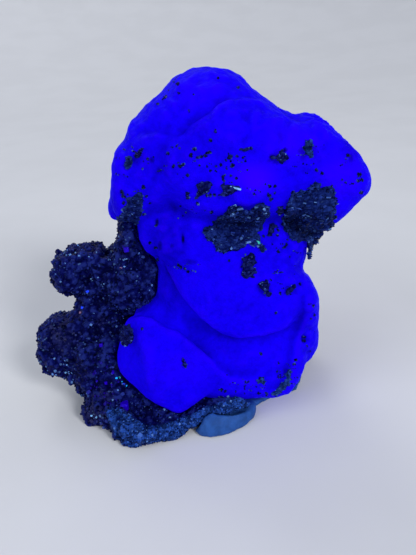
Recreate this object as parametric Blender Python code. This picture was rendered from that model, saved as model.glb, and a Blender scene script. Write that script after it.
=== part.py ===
"""Fluorite with pyrite: a cabinet specimen of rounded, grown-together fluorite on a dark pyrite matrix.

The fluorite is one grown mass of lobes. The pyrite matrix wraps its lower left side, its foot and its back,
thin crusts and small clusters of pyrite sit on the fluorite's front, and a pad of putty levels the specimen.

Lengths are in millimetres and are scaled to metres as each piece is made. +Z is up, -Y is the side that
the specimen shows, and the origin is at the middle of its footprint on the surface that it rests on.
Lines and outlines on the front are given in the photograph's pixels and are carried onto the fluorite along
the camera's lines of sight.
"""

import math
import random

import bmesh
import bpy
import numpy as np
from mathutils import Euler, Matrix, Vector
from mathutils.bvhtree import BVHTree

MM = 0.001
CENTRE = (0.0, 0.5)         # middle of the whole specimen's box in the plan that the lobes are laid out in

CAMERA_PLACE = (4.5, -145.0, 100.1)
CAMERA_PITCH = 24.2         # degrees that the photograph's camera looks down
CAMERA_ROLL = -3.3
CAMERA_FOCAL = 580.0        # in pixels of the photograph
PICTURE = (416, 555)

GAP = 0.45                  # clear space that is cut between two pieces that touch
WIDE_GAP = 0.9              # the same for the matrix, whose faces are coarser
PUTTY_GAP = 1.2             # and for the putty, whose faces are coarser still
CUTTER_VOXEL = 0.6
CUTTER_TRIANGLES = 14000

FLUORITE_VOXEL = 0.8        # grid on which the lobes of the fluorite are joined
FLUORITE_SOFTENING = 4      # smoothing passes over the joined lobes
FLUORITE_LAST_SOFTENING = 1
FLUORITE_TRIANGLES = 4300
FLUORITE_MOSAIC = 9.0       # spacing of the low swellings on the fluorite
FLUORITE_CLOUD = 5.4        # spacing of the uneven ground between them
FLUORITE_RELIEF = 0.9       # how far both stand out
FLUORITE_COLOUR = (0.008, 0.0, 0.92)
FLUORITE_ROUGHNESS = 0.4
LIP_WIDTH = 0.6             # over this distance to both sides a lip goes from its low to its high side
LIP_END = 4.0               # a lip dies away over this distance at its ends

MATRIX_VOXEL = 0.9
MATRIX_CUT_VOXEL = 0.6      # grid on which the matrix is closed again before and after it is cut
MATRIX_TRIANGLES = 2000
MATRIX_KNOB = 4.4           # spacing of the knobs on the matrix
MATRIX_GRAIN = 2.2          # spacing of the uneven ground between them
MATRIX_RELIEF = 2.2         # how far both stand out
PYRITE_COLOUR = (0.012, 0.02, 0.07)
PYRITE_ROUGHNESS = 0.35
PYRITE_METALLIC = 0.9
CRYSTALS = 32               # cubes that stand out of the matrix
CRYSTAL_SIZE = (1.6, 3.4)
CRYSTAL_REACH = 0.9         # a cube's half diagonal as a share of its edge
CRYSTAL_TRIES = 4000
CRYSTAL_FLOOR = 8.0         # below this height the crust is fine-grained
CRYSTAL_SEED = 11

CRUST_VOXEL = 0.3
CRUST_GRAIN = 1.6           # spacing of the grains on the thin crusts
CRUST_RELIEF = 0.5
CRUST_ROOM = 5.0            # how far an outline is carried in front of and behind the fluorite's skin

PUTTY_VOXEL = 0.6
PUTTY_SOFTENING = 6
PUTTY_TRIANGLES = 340
PUTTY_COLOUR = (0.022, 0.10, 0.366)
PUTTY_ROUGHNESS = 0.6

FLOOR_SIZE = 400.0          # edge of the block that cuts the pieces flat where they rest

# Each lobe: middle (x, y, z), half sizes, turn about X, Y and Z in degrees, squareness (0 round, 1 cube).
FLUORITE_LOBES = {
    "crown": ((7.0, 4.0, 75.0), (12.0, 13.6, 13.6), (0, 0, 0), 0.10),
    "crown_shoulder": ((1.6, 3.0, 73.2), (16.0, 13.0, 11.8), (0, -34, 0), 0.10),
    "crown_left": ((-8.6, 1.0, 74.0), (4.4, 8.0, 4.6), (0, 0, 0), 0.20),
    "crown_slope": ((14.8, 1.5, 75.2), (11.8, 12.0, 8.2), (0, 38, 0), 0.20),
    "brow": ((14.0, -5.0, 69.6), (14.0, 11.5, 12.0), (0, 12, 0), 0.12),
    "brow_middle": ((4.2, -6.0, 67.8), (10.5, 10.0, 8.6), (0, -24, 0), 0.10),
    "brow_left": ((-5.2, -3.5, 66.8), (9.4, 9.4, 8.6), (0, -14, 0), 0.10),
    "brow_shelf": ((13.0, -7.0, 62.6), (16.0, 10.4, 6.8), (0, 4, 0), 0.15),
    "brow_join": ((24.0, -4.5, 68.0), (10.0, 11.0, 9.6), (0, 35, 0), 0.15),
    "left_lobe": ((-12.7, -2.0, 63.9), (5.4, 9.6, 9.6), (0, 8, 0), 0.12),
    "left_tip": ((-17.2, -1.5, 56.6), (2.5, 4.0, 3.0), (0, 0, 0), 0.10),
    "right_lobe": ((32.2, -4.0, 64.4), (12.0, 11.4, 9.2), (0, 45, 0), 0.40),
    "neck": ((11.0, 3.0, 46.0), (20.8, 14.0, 17.0), (0, 0, 0), 0.10),
    "neck_left": ((-4.6, -0.5, 52.0), (8.4, 10.0, 9.4), (0, 0, 0), 0.10),
    "chest": ((15.0, -5.5, 32.0), (19.0, 10.5, 12.4), (0, 27, 0), 0.10),
    "shoulder": ((-0.8, -1.0, 30.0), (8.6, 9.0, 16.0), (0, 0, 0), 0.10),
    "shoulder_foot": ((-10.0, -3.0, 24.4), (6.6, 7.0, 5.6), (0, -20, 0), 0.15),
    "right_rim": ((29.4, -1.0, 21.6), (5.0, 9.0, 12.6), (0, 0, 0), 0.15),
    "lower_body": ((12.6, -6.0, 13.8), (16.8, 12.0, 11.0), (0, 0, 0), 0.15),
    "belly": ((18.4, -5.0, 20.6), (13.0, 10.0, 9.6), (0, 0, 0), 0.10),
    "back_waist": ((10.0, 13.0, 42.0), (17.0, 9.0, 30.0), (0, 0, 0), 0.10),
    "back_left": ((-3.0, 10.0, 62.0), (11.0, 10.0, 12.0), (0, 0, 0), 0.15),
    "back_right": ((23.0, 8.0, 61.0), (12.0, 10.0, 11.0), (0, 20, 0), 0.20),
}

MATRIX_LOBES = {
    "upper_left": ((-31.4, 5.0, 37.6), (6.8, 7.2, 6.6), (0, 0, 0), 0.20),
    "upper_right": ((-15.0, 4.0, 34.0), (9.0, 9.4, 9.0), (0, 0, 0), 0.15),
    "upper_link": ((-22.6, 5.0, 38.4), (5.6, 7.0, 5.6), (0, 0, 0), 0.20),
    "middle": ((-25.4, 5.0, 26.4), (6.6, 8.0, 8.4), (0, 0, 0), 0.15),
    "left": ((-37.2, 1.0, 16.4), (7.4, 8.2, 7.8), (0, 0, 0), 0.25),
    "left_ledge": ((-31.4, 1.0, 20.4), (6.0, 7.0, 5.4), (0, 0, 0), 0.20),
    "lower": ((-25.4, -4.0, 13.4), (8.6, 9.0, 9.6), (0, 0, 0), 0.15),
    "lower_left": ((-30.4, -2.0, 8.6), (6.6, 7.4, 5.4), (0, 0, 0), 0.20),
    "foot_left": ((-22.6, -12.0, 5.2), (7.0, 7.0, 6.0), (0, 0, 0), 0.20),
    "foot_tip": ((-28.0, -12.5, 1.8), (4.4, 5.0, 3.0), (0, 0, 0), 0.20),
    "foot_knob": ((-21.0, -17.4, 2.6), (3.6, 3.6, 3.4), (0, 0, 0), 0.15),
    "foot": ((-13.0, -18.0, 0.2), (9.6, 7.6, 5.2), (0, 6, 12), 0.20),
    "under_block": ((-6.4, -11.0, 3.0), (11.0, 9.0, 6.0), (0, 10, 20), 0.20),
    "crust": ((0.2, -17.0, 4.2), (7.6, 4.2, 2.0), (0, -12, 24), 0.20),
    "crust_right": ((10.2, -16.4, 6.2), (7.0, 3.2, 2.0), (0, 0, 24), 0.20),
    "cleft_top": ((-13.8, 0.0, 58.6), (2.8, 5.0, 4.0), (0, 10, 0), 0.20),
    "cleft_middle": ((-15.0, 1.0, 52.4), (3.0, 5.0, 5.0), (0, 0, 0), 0.20),
    "cleft_foot": ((-15.4, 2.0, 45.4), (4.0, 6.0, 5.0), (0, 0, 0), 0.20),
    "under_body": ((8.0, 8.0, 6.0), (20.0, 9.0, 7.0), (0, 0, 0), 0.20),
    "back_foot": ((-2.0, 15.0, 12.0), (22.0, 11.0, 12.0), (0, 0, 0), 0.25),
    "back_left": ((-16.0, 13.0, 26.0), (13.0, 10.0, 17.0), (0, 0, 0), 0.15),
    "back_middle": ((3.0, 18.0, 32.0), (15.0, 8.4, 14.0), (0, 0, 0), 0.15),
    "back_right": ((21.0, 14.0, 13.0), (11.0, 9.0, 11.0), (0, 0, 0), 0.20),
}

# The block at the lower left is a flat-faced crystal: its corners, from the top edge round and to the back.
FLUORITE_BLOCK = (
    (-17.8, -11.0, 28.8), (-12.1, -14.0, 30.9), (-8.1, -15.5, 28.9), (-4.4, -16.0, 27.2), (-0.3, -16.5, 23.7),
    (4.3, -17.0, 18.9), (6.7, -17.0, 15.3), (1.9, -19.0, 8.6), (-5.0, -20.0, 4.3), (-8.8, -20.0, 6.5),
    (-12.4, -20.0, 10.0), (-18.1, -17.0, 13.3), (-21.0, -14.0, 15.9), (-21.5, -12.5, 18.1),
    (-20.4, -12.0, 21.4), (-11.4, -21.0, 25.1), (-11.6, -22.0, 17.5), (-10.1, -21.5, 11.5),
    (-14.0, -2.0, 28.5), (-4.0, -2.0, 26.0), (3.0, -3.0, 18.0), (2.0, -2.0, 8.0), (-8.0, 0.0, 4.0),
    (-18.0, -3.0, 16.0), (-17.0, -3.0, 24.0),
)

# Lips where one lobe grew over the next: the line in pixels, how far the side to the right of its course
# stands out and over what distance that dies away, and the same for how far the other side sinks.
LIPS = (
    (((128, 140), (143, 136.5), (157, 133.5), (171, 137), (184, 134.5), (192, 124), (208, 115),
      (217, 106.5), (235, 98), (246, 98), (263, 101), (273, 108)), 0.8, 4.0, 1.6, 3.4),
    (((271, 198), (262, 201), (255, 203.5), (246, 206.5), (238, 203), (231, 198), (226, 194)),
     1.0, 3.0, 1.0, 2.6),
    (((300, 317), (285, 328.5), (262, 336), (238.5, 338), (223, 334), (211, 326), (198.5, 315.5),
      (186, 301.5), (175.5, 286), (167.5, 269), (165, 258)), 1.1, 5.0, 1.2, 4.0),
    (((127, 316), (143, 316.5), (152, 318.5), (166, 328), (177, 331), (191, 341.5), (201.5, 351),
      (214, 361.5), (218, 368), (229, 375.5), (248, 379), (264, 378)), 0.7, 4.0, 1.0, 4.0),
    (((262, 395), (281, 387), (290, 369), (294, 354), (294.5, 341), (301.5, 325), (306, 312), (305, 288)),
     0.8, 2.4, 1.0, 2.4),
    (((145, 193), (153, 184), (160, 172), (161.5, 153), (164, 142)), 0.3, 2.0, 0.9, 1.6),
)

# Thin pyrite crusts on the fluorite's front: how far each stands out, its triangles and its outline.
CRUSTS = {
    "pyrite_patch_centre": (1.5, 460, (
        (200, 232), (206, 227), (212, 225), (214, 220), (220, 216), (226, 212), (229, 205), (234, 203),
        (240, 207), (247, 211), (253, 209), (257, 204), (263, 203), (268, 206), (268, 215), (264, 220),
        (262, 228), (258, 234), (262, 240), (266, 250), (262, 253), (256, 246), (250, 243), (243, 248),
        (236, 251), (229, 251), (223, 255), (218, 251), (213, 247), (212, 241), (205, 238))),
    "pyrite_patch_right": (2.0, 460, (
        (290, 200), (293, 194), (300, 190), (306, 193), (310, 189), (311, 184), (315, 178), (320, 187),
        (333, 187), (338, 198), (337, 210), (333, 221), (332, 232), (328, 246), (321, 258), (313, 265),
        (308, 260), (308, 248), (306, 240), (298, 242), (291, 240), (287, 232), (282, 226), (281, 218),
        (286, 211), (285, 205))),
    "pyrite_cluster_brow_left": (1.3, 90, (
        (214, 179), (206, 182), (198, 181), (196, 188), (196, 198), (203, 196), (208, 190), (213, 185))),
    "pyrite_cluster_brow_middle": (1.3, 90, (
        (220, 183), (231, 184), (241, 187), (239, 191), (232, 194), (223, 199), (217, 195), (221, 190))),
    "pyrite_cluster_brow_upper": (1.2, 60, (
        (237, 150), (243, 147), (248, 144), (253, 146), (252, 151), (246, 152), (240, 154))),
    "pyrite_cluster_brow_right": (1.2, 80, (
        (269, 155), (276, 155), (279, 150), (285, 148), (288, 155), (284, 163), (277, 164), (272, 160))),
    "pyrite_cluster_right_lobe": (1.2, 80, (
        (303, 142), (309, 139), (315, 143), (315, 149), (313, 157), (309, 161), (304, 155), (300, 149))),
    "pyrite_cluster_left_lobe": (1.2, 60, (
        (125, 157), (130, 154), (134, 158), (133, 166), (128, 170), (124, 165))),
    "pyrite_cluster_left_lobe_inner": (1.2, 60, (
        (135, 154), (140, 149), (146, 149), (145, 156), (139, 161), (134, 160))),
    "pyrite_cluster_waist_upper": (1.3, 100, (
        (241, 258), (252, 252), (256, 258), (260, 262), (252, 267), (258, 272), (251, 279), (245, 281),
        (241, 275), (240, 267))),
    "pyrite_cluster_waist_lower": (1.3, 80, (
        (257, 281), (269, 279), (271, 286), (272, 295), (268, 298), (262, 293), (259, 288))),
    "pyrite_cluster_waist_right": (1.3, 80, (
        (284, 289), (291, 285), (296, 282), (297, 289), (292, 294), (285, 297))),
    "pyrite_cluster_block_corner": (2.4, 120, (
        (121, 330), (124, 325), (130, 324), (134, 328), (134, 336), (132, 343), (127, 347), (121, 343),
        (119, 337))),
    "pyrite_cluster_block": (1.2, 60, (
        (180, 357), (185, 356), (187, 361), (189, 365), (185, 369), (181, 364))),
    "pyrite_cluster_foot": (1.2, 60, (
        (255, 379), (262, 376), (267, 380), (264, 385), (256, 384))),
    "pyrite_cluster_foot_right": (1.2, 90, (
        (288, 366), (294, 368), (292, 378), (289, 386), (282, 393), (276, 396), (270, 394), (277, 388),
        (284, 380))),
}

# The right crust goes on round the side of the waist: places in all three directions, and a radius.
CRUST_TRAIL = (
    (30.6, -9.0, 54.4, 3.0), (33.6, -6.0, 54.0, 2.6), (33.4, -4.0, 51.4, 2.8), (32.9, -2.6, 48.4, 2.8),
    (32.3, -1.6, 45.8, 2.4), (31.2, -0.6, 43.4, 2.1),
)

PUTTY_LOBES = {
    "pad": ((12.0, -7.4, 0.4), (13.0, 6.2, 3.2), (0, 0, 33), 0.15),
    "front": ((6.6, -16.6, 1.2), (9.6, 6.4, 5.6), (0, 0, 33), 0.10),
    "right": ((26.8, -2.4, 1.8), (4.2, 4.6, 5.8), (0, 0, 40), 0.10),
}


def place(point):
    """A point of the layout as a place in the model's own frame, in metres."""
    return Vector((point[0] - CENTRE[0], point[1] - CENTRE[1], point[2])) * MM


EYE = place(CAMERA_PLACE)
EYE_TURN = (Matrix.Rotation(math.radians(90.0 - CAMERA_PITCH), 3, "X")
            @ Matrix.Rotation(math.radians(CAMERA_ROLL), 3, "Z"))


def sight(across, down):
    """The direction in which the camera sees this pixel, one unit long along the camera's own axis."""
    return EYE_TURN @ Vector(((across - PICTURE[0] / 2) / CAMERA_FOCAL,
                              (PICTURE[1] / 2 - down) / CAMERA_FOCAL, -1.0))


def rounded_block(bm, middle, half, turn=(0, 0, 0), squareness=0.1, subdivisions=4):
    """A closed rounded block: a sphere whose points are pulled towards a cube by the squareness."""
    made = bmesh.ops.create_icosphere(bm, subdivisions=subdivisions, radius=1.0)
    power = 2.0 + 6.0 * squareness
    turned = Euler([math.radians(angle) for angle in turn]).to_matrix()
    for vert in made["verts"]:
        d = vert.co.normalized()
        reach = (abs(d.x) ** power + abs(d.y) ** power + abs(d.z) ** power) ** (-1.0 / power)
        local = Vector((d.x * reach * half[0], d.y * reach * half[1], d.z * reach * half[2]))
        vert.co = place(middle) + turned @ local * MM


def object_from(bm, name):
    mesh = bpy.data.meshes.new(name)
    bm.to_mesh(mesh)
    bm.free()
    made = bpy.data.objects.new(name, mesh)
    bpy.context.scene.collection.objects.link(made)
    return made


def joined_lobes(name, lobes, corners=()):
    """One mesh of all the lobes, and of the flat-faced solid that wraps the corners, if there are any."""
    bm = bmesh.new()
    for middle, half, turn, squareness in lobes.values():
        rounded_block(bm, middle, half, turn, squareness)
    if corners:
        bmesh.ops.convex_hull(bm, input=[bm.verts.new(place(corner)) for corner in corners])
    return object_from(bm, name)


def modify(piece, kind, **settings):
    """Adds a modifier and at once makes its result the piece's own mesh."""
    step = piece.modifiers.new(kind.lower(), kind)
    for name, value in settings.items():
        setattr(step, name, value)
    bpy.context.view_layer.update()
    evaluated = piece.evaluated_get(bpy.context.evaluated_depsgraph_get())
    mesh = bpy.data.meshes.new_from_object(evaluated)
    piece.modifiers.remove(step)
    old = piece.data
    piece.data = mesh
    bpy.data.meshes.remove(old)
    mesh.name = piece.name
    return piece


def remesh(piece, voxel):
    return modify(piece, "REMESH", mode="VOXEL", voxel_size=voxel * MM)


def simplify(piece, triangles):
    piece.data.calc_loop_triangles()
    share = triangles / len(piece.data.loop_triangles)
    if share < 1.0:
        modify(piece, "DECIMATE", ratio=share, use_collapse_triangulate=True)
    return piece


def cut(piece, cutter, operation="DIFFERENCE"):
    return modify(piece, "BOOLEAN", object=cutter, operation=operation, solver="EXACT")


def keep_largest(piece):
    """Drops every loose scrap that a cut leaves, so that the piece is one body."""
    bm = bmesh.new()
    bm.from_mesh(piece.data)
    left = set(bm.verts)
    islands = []
    while left:
        edge_of = [left.pop()]
        island = set(edge_of)
        while edge_of:
            for edge in edge_of.pop().link_edges:
                for vert in edge.verts:
                    if vert in left:
                        left.discard(vert)
                        island.add(vert)
                        edge_of.append(vert)
        islands.append(island)
    islands.sort(key=len)
    bmesh.ops.delete(bm, geom=[vert for island in islands[:-1] for vert in island], context="VERTS")
    bm.to_mesh(piece.data)
    bm.free()
    return piece


def relief(piece, texture_type, size, depth, **settings):
    """Raises a procedural texture's pattern along the normals."""
    texture = bpy.data.textures.new(piece.name + "_relief", texture_type)
    texture.noise_scale = size * MM
    for name, value in settings.items():
        setattr(texture, name, value)
    return modify(piece, "DISPLACE", texture=texture, texture_coords="LOCAL", strength=depth * MM,
                  mid_level=0.5)


def grown(piece, by=GAP):
    """A copy of a piece that is larger all round, to cut the space that the piece fills."""
    copy = bpy.data.objects.new(piece.name + "_space", piece.data.copy())
    bpy.context.scene.collection.objects.link(copy)
    modify(copy, "DISPLACE", strength=by * MM, mid_level=0.0)
    remesh(copy, CUTTER_VOXEL)
    simplify(copy, CUTTER_TRIANGLES)
    return as_guide(copy)


def tree_of(piece):
    bm = bmesh.new()
    bm.from_mesh(piece.data)
    tree = BVHTree.FromBMesh(bm)
    bm.free()
    return tree


def as_guide(piece):
    piece.hide_render = True
    piece.display_type = "WIRE"
    return piece


def material(name, colour, roughness, metallic=0.0):
    made = bpy.data.materials.new(name)
    made.use_nodes = True
    shader = made.node_tree.nodes["Principled BSDF"]
    shader.inputs["Base Color"].default_value = (*colour, 1.0)
    shader.inputs["Roughness"].default_value = roughness
    shader.inputs["Metallic"].default_value = metallic
    return made


def numbers_of(piece, member):
    values = np.empty(len(piece.data.vertices) * 3, np.float32)
    if member == "co":
        piece.data.vertices.foreach_get("co", values)
    else:
        piece.data.vertex_normals.foreach_get("vector", values)
    return values.reshape(-1, 3).astype(float)


def ease(value, low, high):
    share = np.clip((value - low) / (high - low), 0.0, 1.0)
    return share * share * (3.0 - 2.0 * share)


def raise_lips(piece):
    """Moves the front skin out on one side of every lip and in on its other side."""
    points = numbers_of(piece, "co")
    normals = numbers_of(piece, "normal")
    local = (points - np.array(EYE)) @ np.array(EYE_TURN)
    depth = -local[:, 2]
    pixels = np.stack([PICTURE[0] / 2 + CAMERA_FOCAL * local[:, 0] / depth,
                       PICTURE[1] / 2 - CAMERA_FOCAL * local[:, 1] / depth], axis=1)
    pixel_span = depth / CAMERA_FOCAL / MM
    towards = np.array(EYE) - points
    facing = ease((normals * towards).sum(axis=1) / np.linalg.norm(towards, axis=1), 0.0, 0.3)
    height = np.zeros(len(points))
    for line, rise, rise_reach, sink, sink_reach in LIPS:
        best = np.full(len(points), np.inf)
        side = np.zeros(len(points))
        for start, end in zip(line[:-1], line[1:]):
            along = np.array(end) - np.array(start)
            share = np.clip(((pixels - start) @ along) / (along @ along), 0.0, 1.0)
            away = pixels - (np.array(start) + share[:, None] * along)
            reach = np.hypot(away[:, 0], away[:, 1])
            side = np.where(reach < best, np.sign(along[0] * away[:, 1] - along[1] * away[:, 0]), side)
            best = np.minimum(best, reach)
        distance = best * pixel_span
        ends = np.minimum(*(np.hypot(*(pixels - end).T) for end in (line[0], line[-1]))) * pixel_span
        high = ease(distance * side, -LIP_WIDTH, LIP_WIDTH)
        edge = rise * high * np.exp(-distance / rise_reach)
        edge -= sink * (1.0 - high) * np.exp(-distance / sink_reach)
        height += edge * ease(ends, 0.0, LIP_END) * facing
    moved = points + normals * (height * MM)[:, None]
    piece.data.vertices.foreach_set("co", moved.astype(np.float32).ravel())
    piece.data.update()


def fluorite():
    piece = joined_lobes("fluorite", FLUORITE_LOBES, FLUORITE_BLOCK)
    remesh(piece, FLUORITE_VOXEL)
    modify(piece, "SMOOTH", iterations=FLUORITE_SOFTENING)
    relief(piece, "VORONOI", FLUORITE_MOSAIC, -FLUORITE_RELIEF, distance_metric="CHEBYCHEV")
    relief(piece, "CLOUDS", FLUORITE_CLOUD, FLUORITE_RELIEF)
    raise_lips(piece)
    remesh(piece, FLUORITE_VOXEL)
    modify(piece, "SMOOTH", iterations=FLUORITE_LAST_SOFTENING)
    simplify(piece, FLUORITE_TRIANGLES)
    piece.data.materials.append(material("fluorite", FLUORITE_COLOUR, FLUORITE_ROUGHNESS))
    return piece


def resting_plane():
    """A block under the surface that the specimen rests on, which cuts the pieces flat there."""
    bm = bmesh.new()
    bmesh.ops.create_cube(bm, size=FLOOR_SIZE * MM)
    bmesh.ops.translate(bm, verts=bm.verts, vec=(0, 0, -FLOOR_SIZE * MM / 2))
    return as_guide(object_from(bm, "resting_plane"))


def crystal_cubes(name, places, random_turns):
    """Separate small cubes, one for each place and size, each turned its own way."""
    bm = bmesh.new()
    for spot, size in places:
        made = bmesh.ops.create_cube(bm, size=size)
        turned = Euler([random_turns.uniform(0, math.pi / 2) for _ in range(3)]).to_matrix().to_4x4()
        bmesh.ops.transform(bm, matrix=turned, verts=made["verts"])
        bmesh.ops.translate(bm, verts=made["verts"], vec=spot)
    return object_from(bm, name)


def crystal_places(matrix, crystal_tree, draw):
    """Spots over the matrix's skin that are clear of each other, of the fluorite and of the crust."""
    faces = matrix.data.polygons
    places = []
    for _ in range(CRYSTAL_TRIES):
        if len(places) == CRYSTALS:
            break
        spot = faces[draw.randrange(len(faces))].center.copy()
        size = draw.uniform(*CRYSTAL_SIZE) * MM
        clear = size * CRYSTAL_REACH
        nearest = crystal_tree.find_nearest(spot)[3]
        if spot.z < CRYSTAL_FLOOR * MM or nearest < clear + GAP * MM:
            continue
        if any((spot - other).length < clear + far * CRYSTAL_REACH for other, far in places):
            continue
        places.append((spot, size))
    return places


def pyrite_matrix(crystal_tree, wide_space, least_space, floor, pyrite):
    piece = joined_lobes("pyrite_matrix", MATRIX_LOBES)
    remesh(piece, MATRIX_VOXEL)
    relief(piece, "VORONOI", MATRIX_KNOB, -MATRIX_RELIEF, distance_metric="CHEBYCHEV")
    relief(piece, "CLOUDS", MATRIX_GRAIN, MATRIX_RELIEF)
    remesh(piece, MATRIX_CUT_VOXEL)
    cut(piece, wide_space)
    keep_largest(piece)
    remesh(piece, MATRIX_CUT_VOXEL)
    keep_largest(piece)
    simplify(piece, MATRIX_TRIANGLES)
    draw = random.Random(CRYSTAL_SEED)
    cubes = crystal_cubes("matrix_crystals", crystal_places(piece, crystal_tree, draw), draw)
    cut(piece, as_guide(cubes), "UNION")
    cut(piece, least_space)
    cut(piece, floor)
    piece.data.materials.append(pyrite)
    return keep_largest(piece)


def sight_prism(name, outline, crystal_tree):
    """A closed prism whose sides follow the camera's lines of sight through an outline on the fluorite."""
    depths = []
    for pixel in outline:
        direction = sight(*pixel)
        spot = crystal_tree.ray_cast(EYE, direction.normalized())[0]
        if spot:
            depths.append((spot - EYE).length / direction.length)
    bm = bmesh.new()
    near = [bm.verts.new(EYE + sight(*pixel) * (min(depths) - CRUST_ROOM * MM)) for pixel in outline]
    far = [bm.verts.new(EYE + sight(*pixel) * (max(depths) + CRUST_ROOM * MM)) for pixel in outline]
    bm.faces.new(near)
    bm.faces.new(far[::-1])
    for index in range(len(outline)):
        bm.faces.new((near[index], near[index - 1], far[index - 1], far[index]))
    bmesh.ops.triangulate(bm, faces=bm.faces)
    bmesh.ops.recalc_face_normals(bm, faces=bm.faces)
    return object_from(bm, name)


def pyrite_crust(name, rise, triangles, outline, crystal, crystal_tree, spaces, pyrite):
    """A thin crust that follows the fluorite's skin inside the outline."""
    piece = sight_prism(name, outline, crystal_tree)
    cut(piece, grown(crystal, rise), "INTERSECT")
    if name == "pyrite_patch_right":
        trail = bmesh.new()
        trail.from_mesh(piece.data)
        for x, y, z, radius in CRUST_TRAIL:
            rounded_block(trail, (x, y, z), (radius, radius, radius), squareness=0.3, subdivisions=3)
        trail.to_mesh(piece.data)
        trail.free()
    remesh(piece, CRUST_VOXEL)
    relief(piece, "VORONOI", CRUST_GRAIN, -CRUST_RELIEF, distance_metric="CHEBYCHEV")
    remesh(piece, CRUST_VOXEL)
    for space in spaces:
        cut(piece, space)
        keep_largest(piece)
    remesh(piece, CRUST_VOXEL)
    keep_largest(piece)
    piece.data.materials.append(pyrite)
    return simplify(piece, triangles)


def mounting_putty(spaces, floor):
    piece = joined_lobes("mounting_putty", PUTTY_LOBES)
    remesh(piece, PUTTY_VOXEL)
    modify(piece, "SMOOTH", iterations=PUTTY_SOFTENING)
    for space in spaces:
        cut(piece, space)
        keep_largest(piece)
    remesh(piece, PUTTY_VOXEL)
    keep_largest(piece)
    simplify(piece, PUTTY_TRIANGLES)
    cut(piece, floor)
    piece.data.materials.append(material("putty", PUTTY_COLOUR, PUTTY_ROUGHNESS))
    return keep_largest(piece)


def main():
    for old in list(bpy.data.objects):
        bpy.data.objects.remove(old, do_unlink=True)
    pyrite = material("pyrite", PYRITE_COLOUR, PYRITE_ROUGHNESS, PYRITE_METALLIC)
    floor = resting_plane()
    crystal = fluorite()
    crystal_tree = tree_of(crystal)
    crystal_space = grown(crystal)
    wide_space = grown(crystal, WIDE_GAP)
    matrix = pyrite_matrix(crystal_tree, wide_space, crystal_space, floor, pyrite)
    spaces = (crystal_space, grown(matrix))
    for name, (rise, triangles, outline) in CRUSTS.items():
        pyrite_crust(name, rise, triangles, outline, crystal, crystal_tree, spaces, pyrite)
    mounting_putty((grown(crystal, PUTTY_GAP), grown(matrix, PUTTY_GAP)), floor)


main()
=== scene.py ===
"""Finish for a fluorite with pyrite specimen: fine growth relief, pyrite grains and crystals, and a stage."""

import math

import bmesh
import bpy
import numpy as np
from bpy.props import FloatProperty, FloatVectorProperty, IntProperty, PointerProperty
from mathutils import Matrix, Vector, noise
from mathutils.bvhtree import BVHTree


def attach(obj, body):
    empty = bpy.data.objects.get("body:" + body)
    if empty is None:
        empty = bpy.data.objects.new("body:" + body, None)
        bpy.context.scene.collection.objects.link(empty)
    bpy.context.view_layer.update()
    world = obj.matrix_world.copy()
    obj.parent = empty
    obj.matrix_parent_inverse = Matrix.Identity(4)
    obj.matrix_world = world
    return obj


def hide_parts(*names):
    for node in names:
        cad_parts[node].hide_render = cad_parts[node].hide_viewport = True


bl_info = {
    "name": "Fluorite with pyrite",
    "version": (1, 0, 0),
    "blender": (4, 5, 0),
    "location": "View3D > Sidebar > Specimen",
    "description": "Grows the fine surface of a fluorite and pyrite specimen over its packed solids",
    "category": "Object",
}

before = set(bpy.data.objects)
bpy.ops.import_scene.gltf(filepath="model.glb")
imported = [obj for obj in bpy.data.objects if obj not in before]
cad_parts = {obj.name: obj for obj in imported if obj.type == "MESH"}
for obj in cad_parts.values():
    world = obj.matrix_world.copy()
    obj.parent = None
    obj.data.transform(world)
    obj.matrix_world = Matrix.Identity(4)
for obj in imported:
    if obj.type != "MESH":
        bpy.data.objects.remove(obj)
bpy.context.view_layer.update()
MM = 0.001
BODY = "root"
FOOTPRINT_MIDDLE = (0.0, 0.5)      # the layout's point that stands over the model's origin, in millimetres

# The photograph's camera: where it stands in the layout, how it is tipped and rolled, and its lens in pixels.
CAMERA_PLACE = (4.5, -145.0, 100.1)
CAMERA_PITCH = 24.2
CAMERA_ROLL = -3.3
CAMERA_FOCAL = 580.0
PICTURE = (416, 555)
SENSOR = 36.0


def length(name, default, description, low=0.0, high=0.01):
    return FloatProperty(name=name, description=description, default=default * MM, min=low, max=high,
                         subtype="DISTANCE", unit="LENGTH", precision=5)


def colour(name, default, description):
    return FloatVectorProperty(name=name, description=description, subtype="COLOR", default=default,
                               min=0.0, max=1.0)


class SpecimenSizes(bpy.types.PropertyGroup):
    """Sizes of the surface's relief, grains and crystals."""

    fluorite_grid: length("Fluorite grid", 0.48, "Spacing of the fluorite's points", 0.0003)
    matrix_grid: length("Matrix grid", 0.5, "Spacing of the matrix's points", 0.0003)
    crust_grid: length("Crust grid", 0.27, "Spacing of the points of the thin pyrite crusts", 0.0002)
    swell_depth: length("Swell depth", 0.8, "Height of the fluorite's low swellings")
    mottle_depth: length("Mottle depth", 0.6, "Height of the bumps on the fluorite's rough places")
    step_height: length("Growth step", 0.5, "Height of one growth step on the crown")
    step_spacing: length("Step spacing", 1.9, "Distance between growth steps", 0.0005)
    wave_height: length("Wave height", 0.32, "Height of the waves that hang down the chest")
    knob_depth: length("Knob depth", 1.25, "Height of the matrix's knobs")
    needle_length: length("Needle length", 2.6, "Length of the pale needle under the brow")
    matrix_grains: IntProperty(name="Matrix grains", description="Number of small grains on the matrix",
                               default=9500, min=0, max=9900)
    matrix_crystals: IntProperty(name="Matrix crystals", description="Number of larger crystals on the matrix",
                                 default=800, min=0, max=3000)
    far_clumps: IntProperty(name="Far clumps", description="Number of clumps of pyrite scattered over the fluorite",
                            default=170, min=0, max=2000)
    crust_grains: IntProperty(name="Crust grains", description="Number of pale grains on the foot's crust",
                              default=2000, min=0, max=9000)


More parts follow.
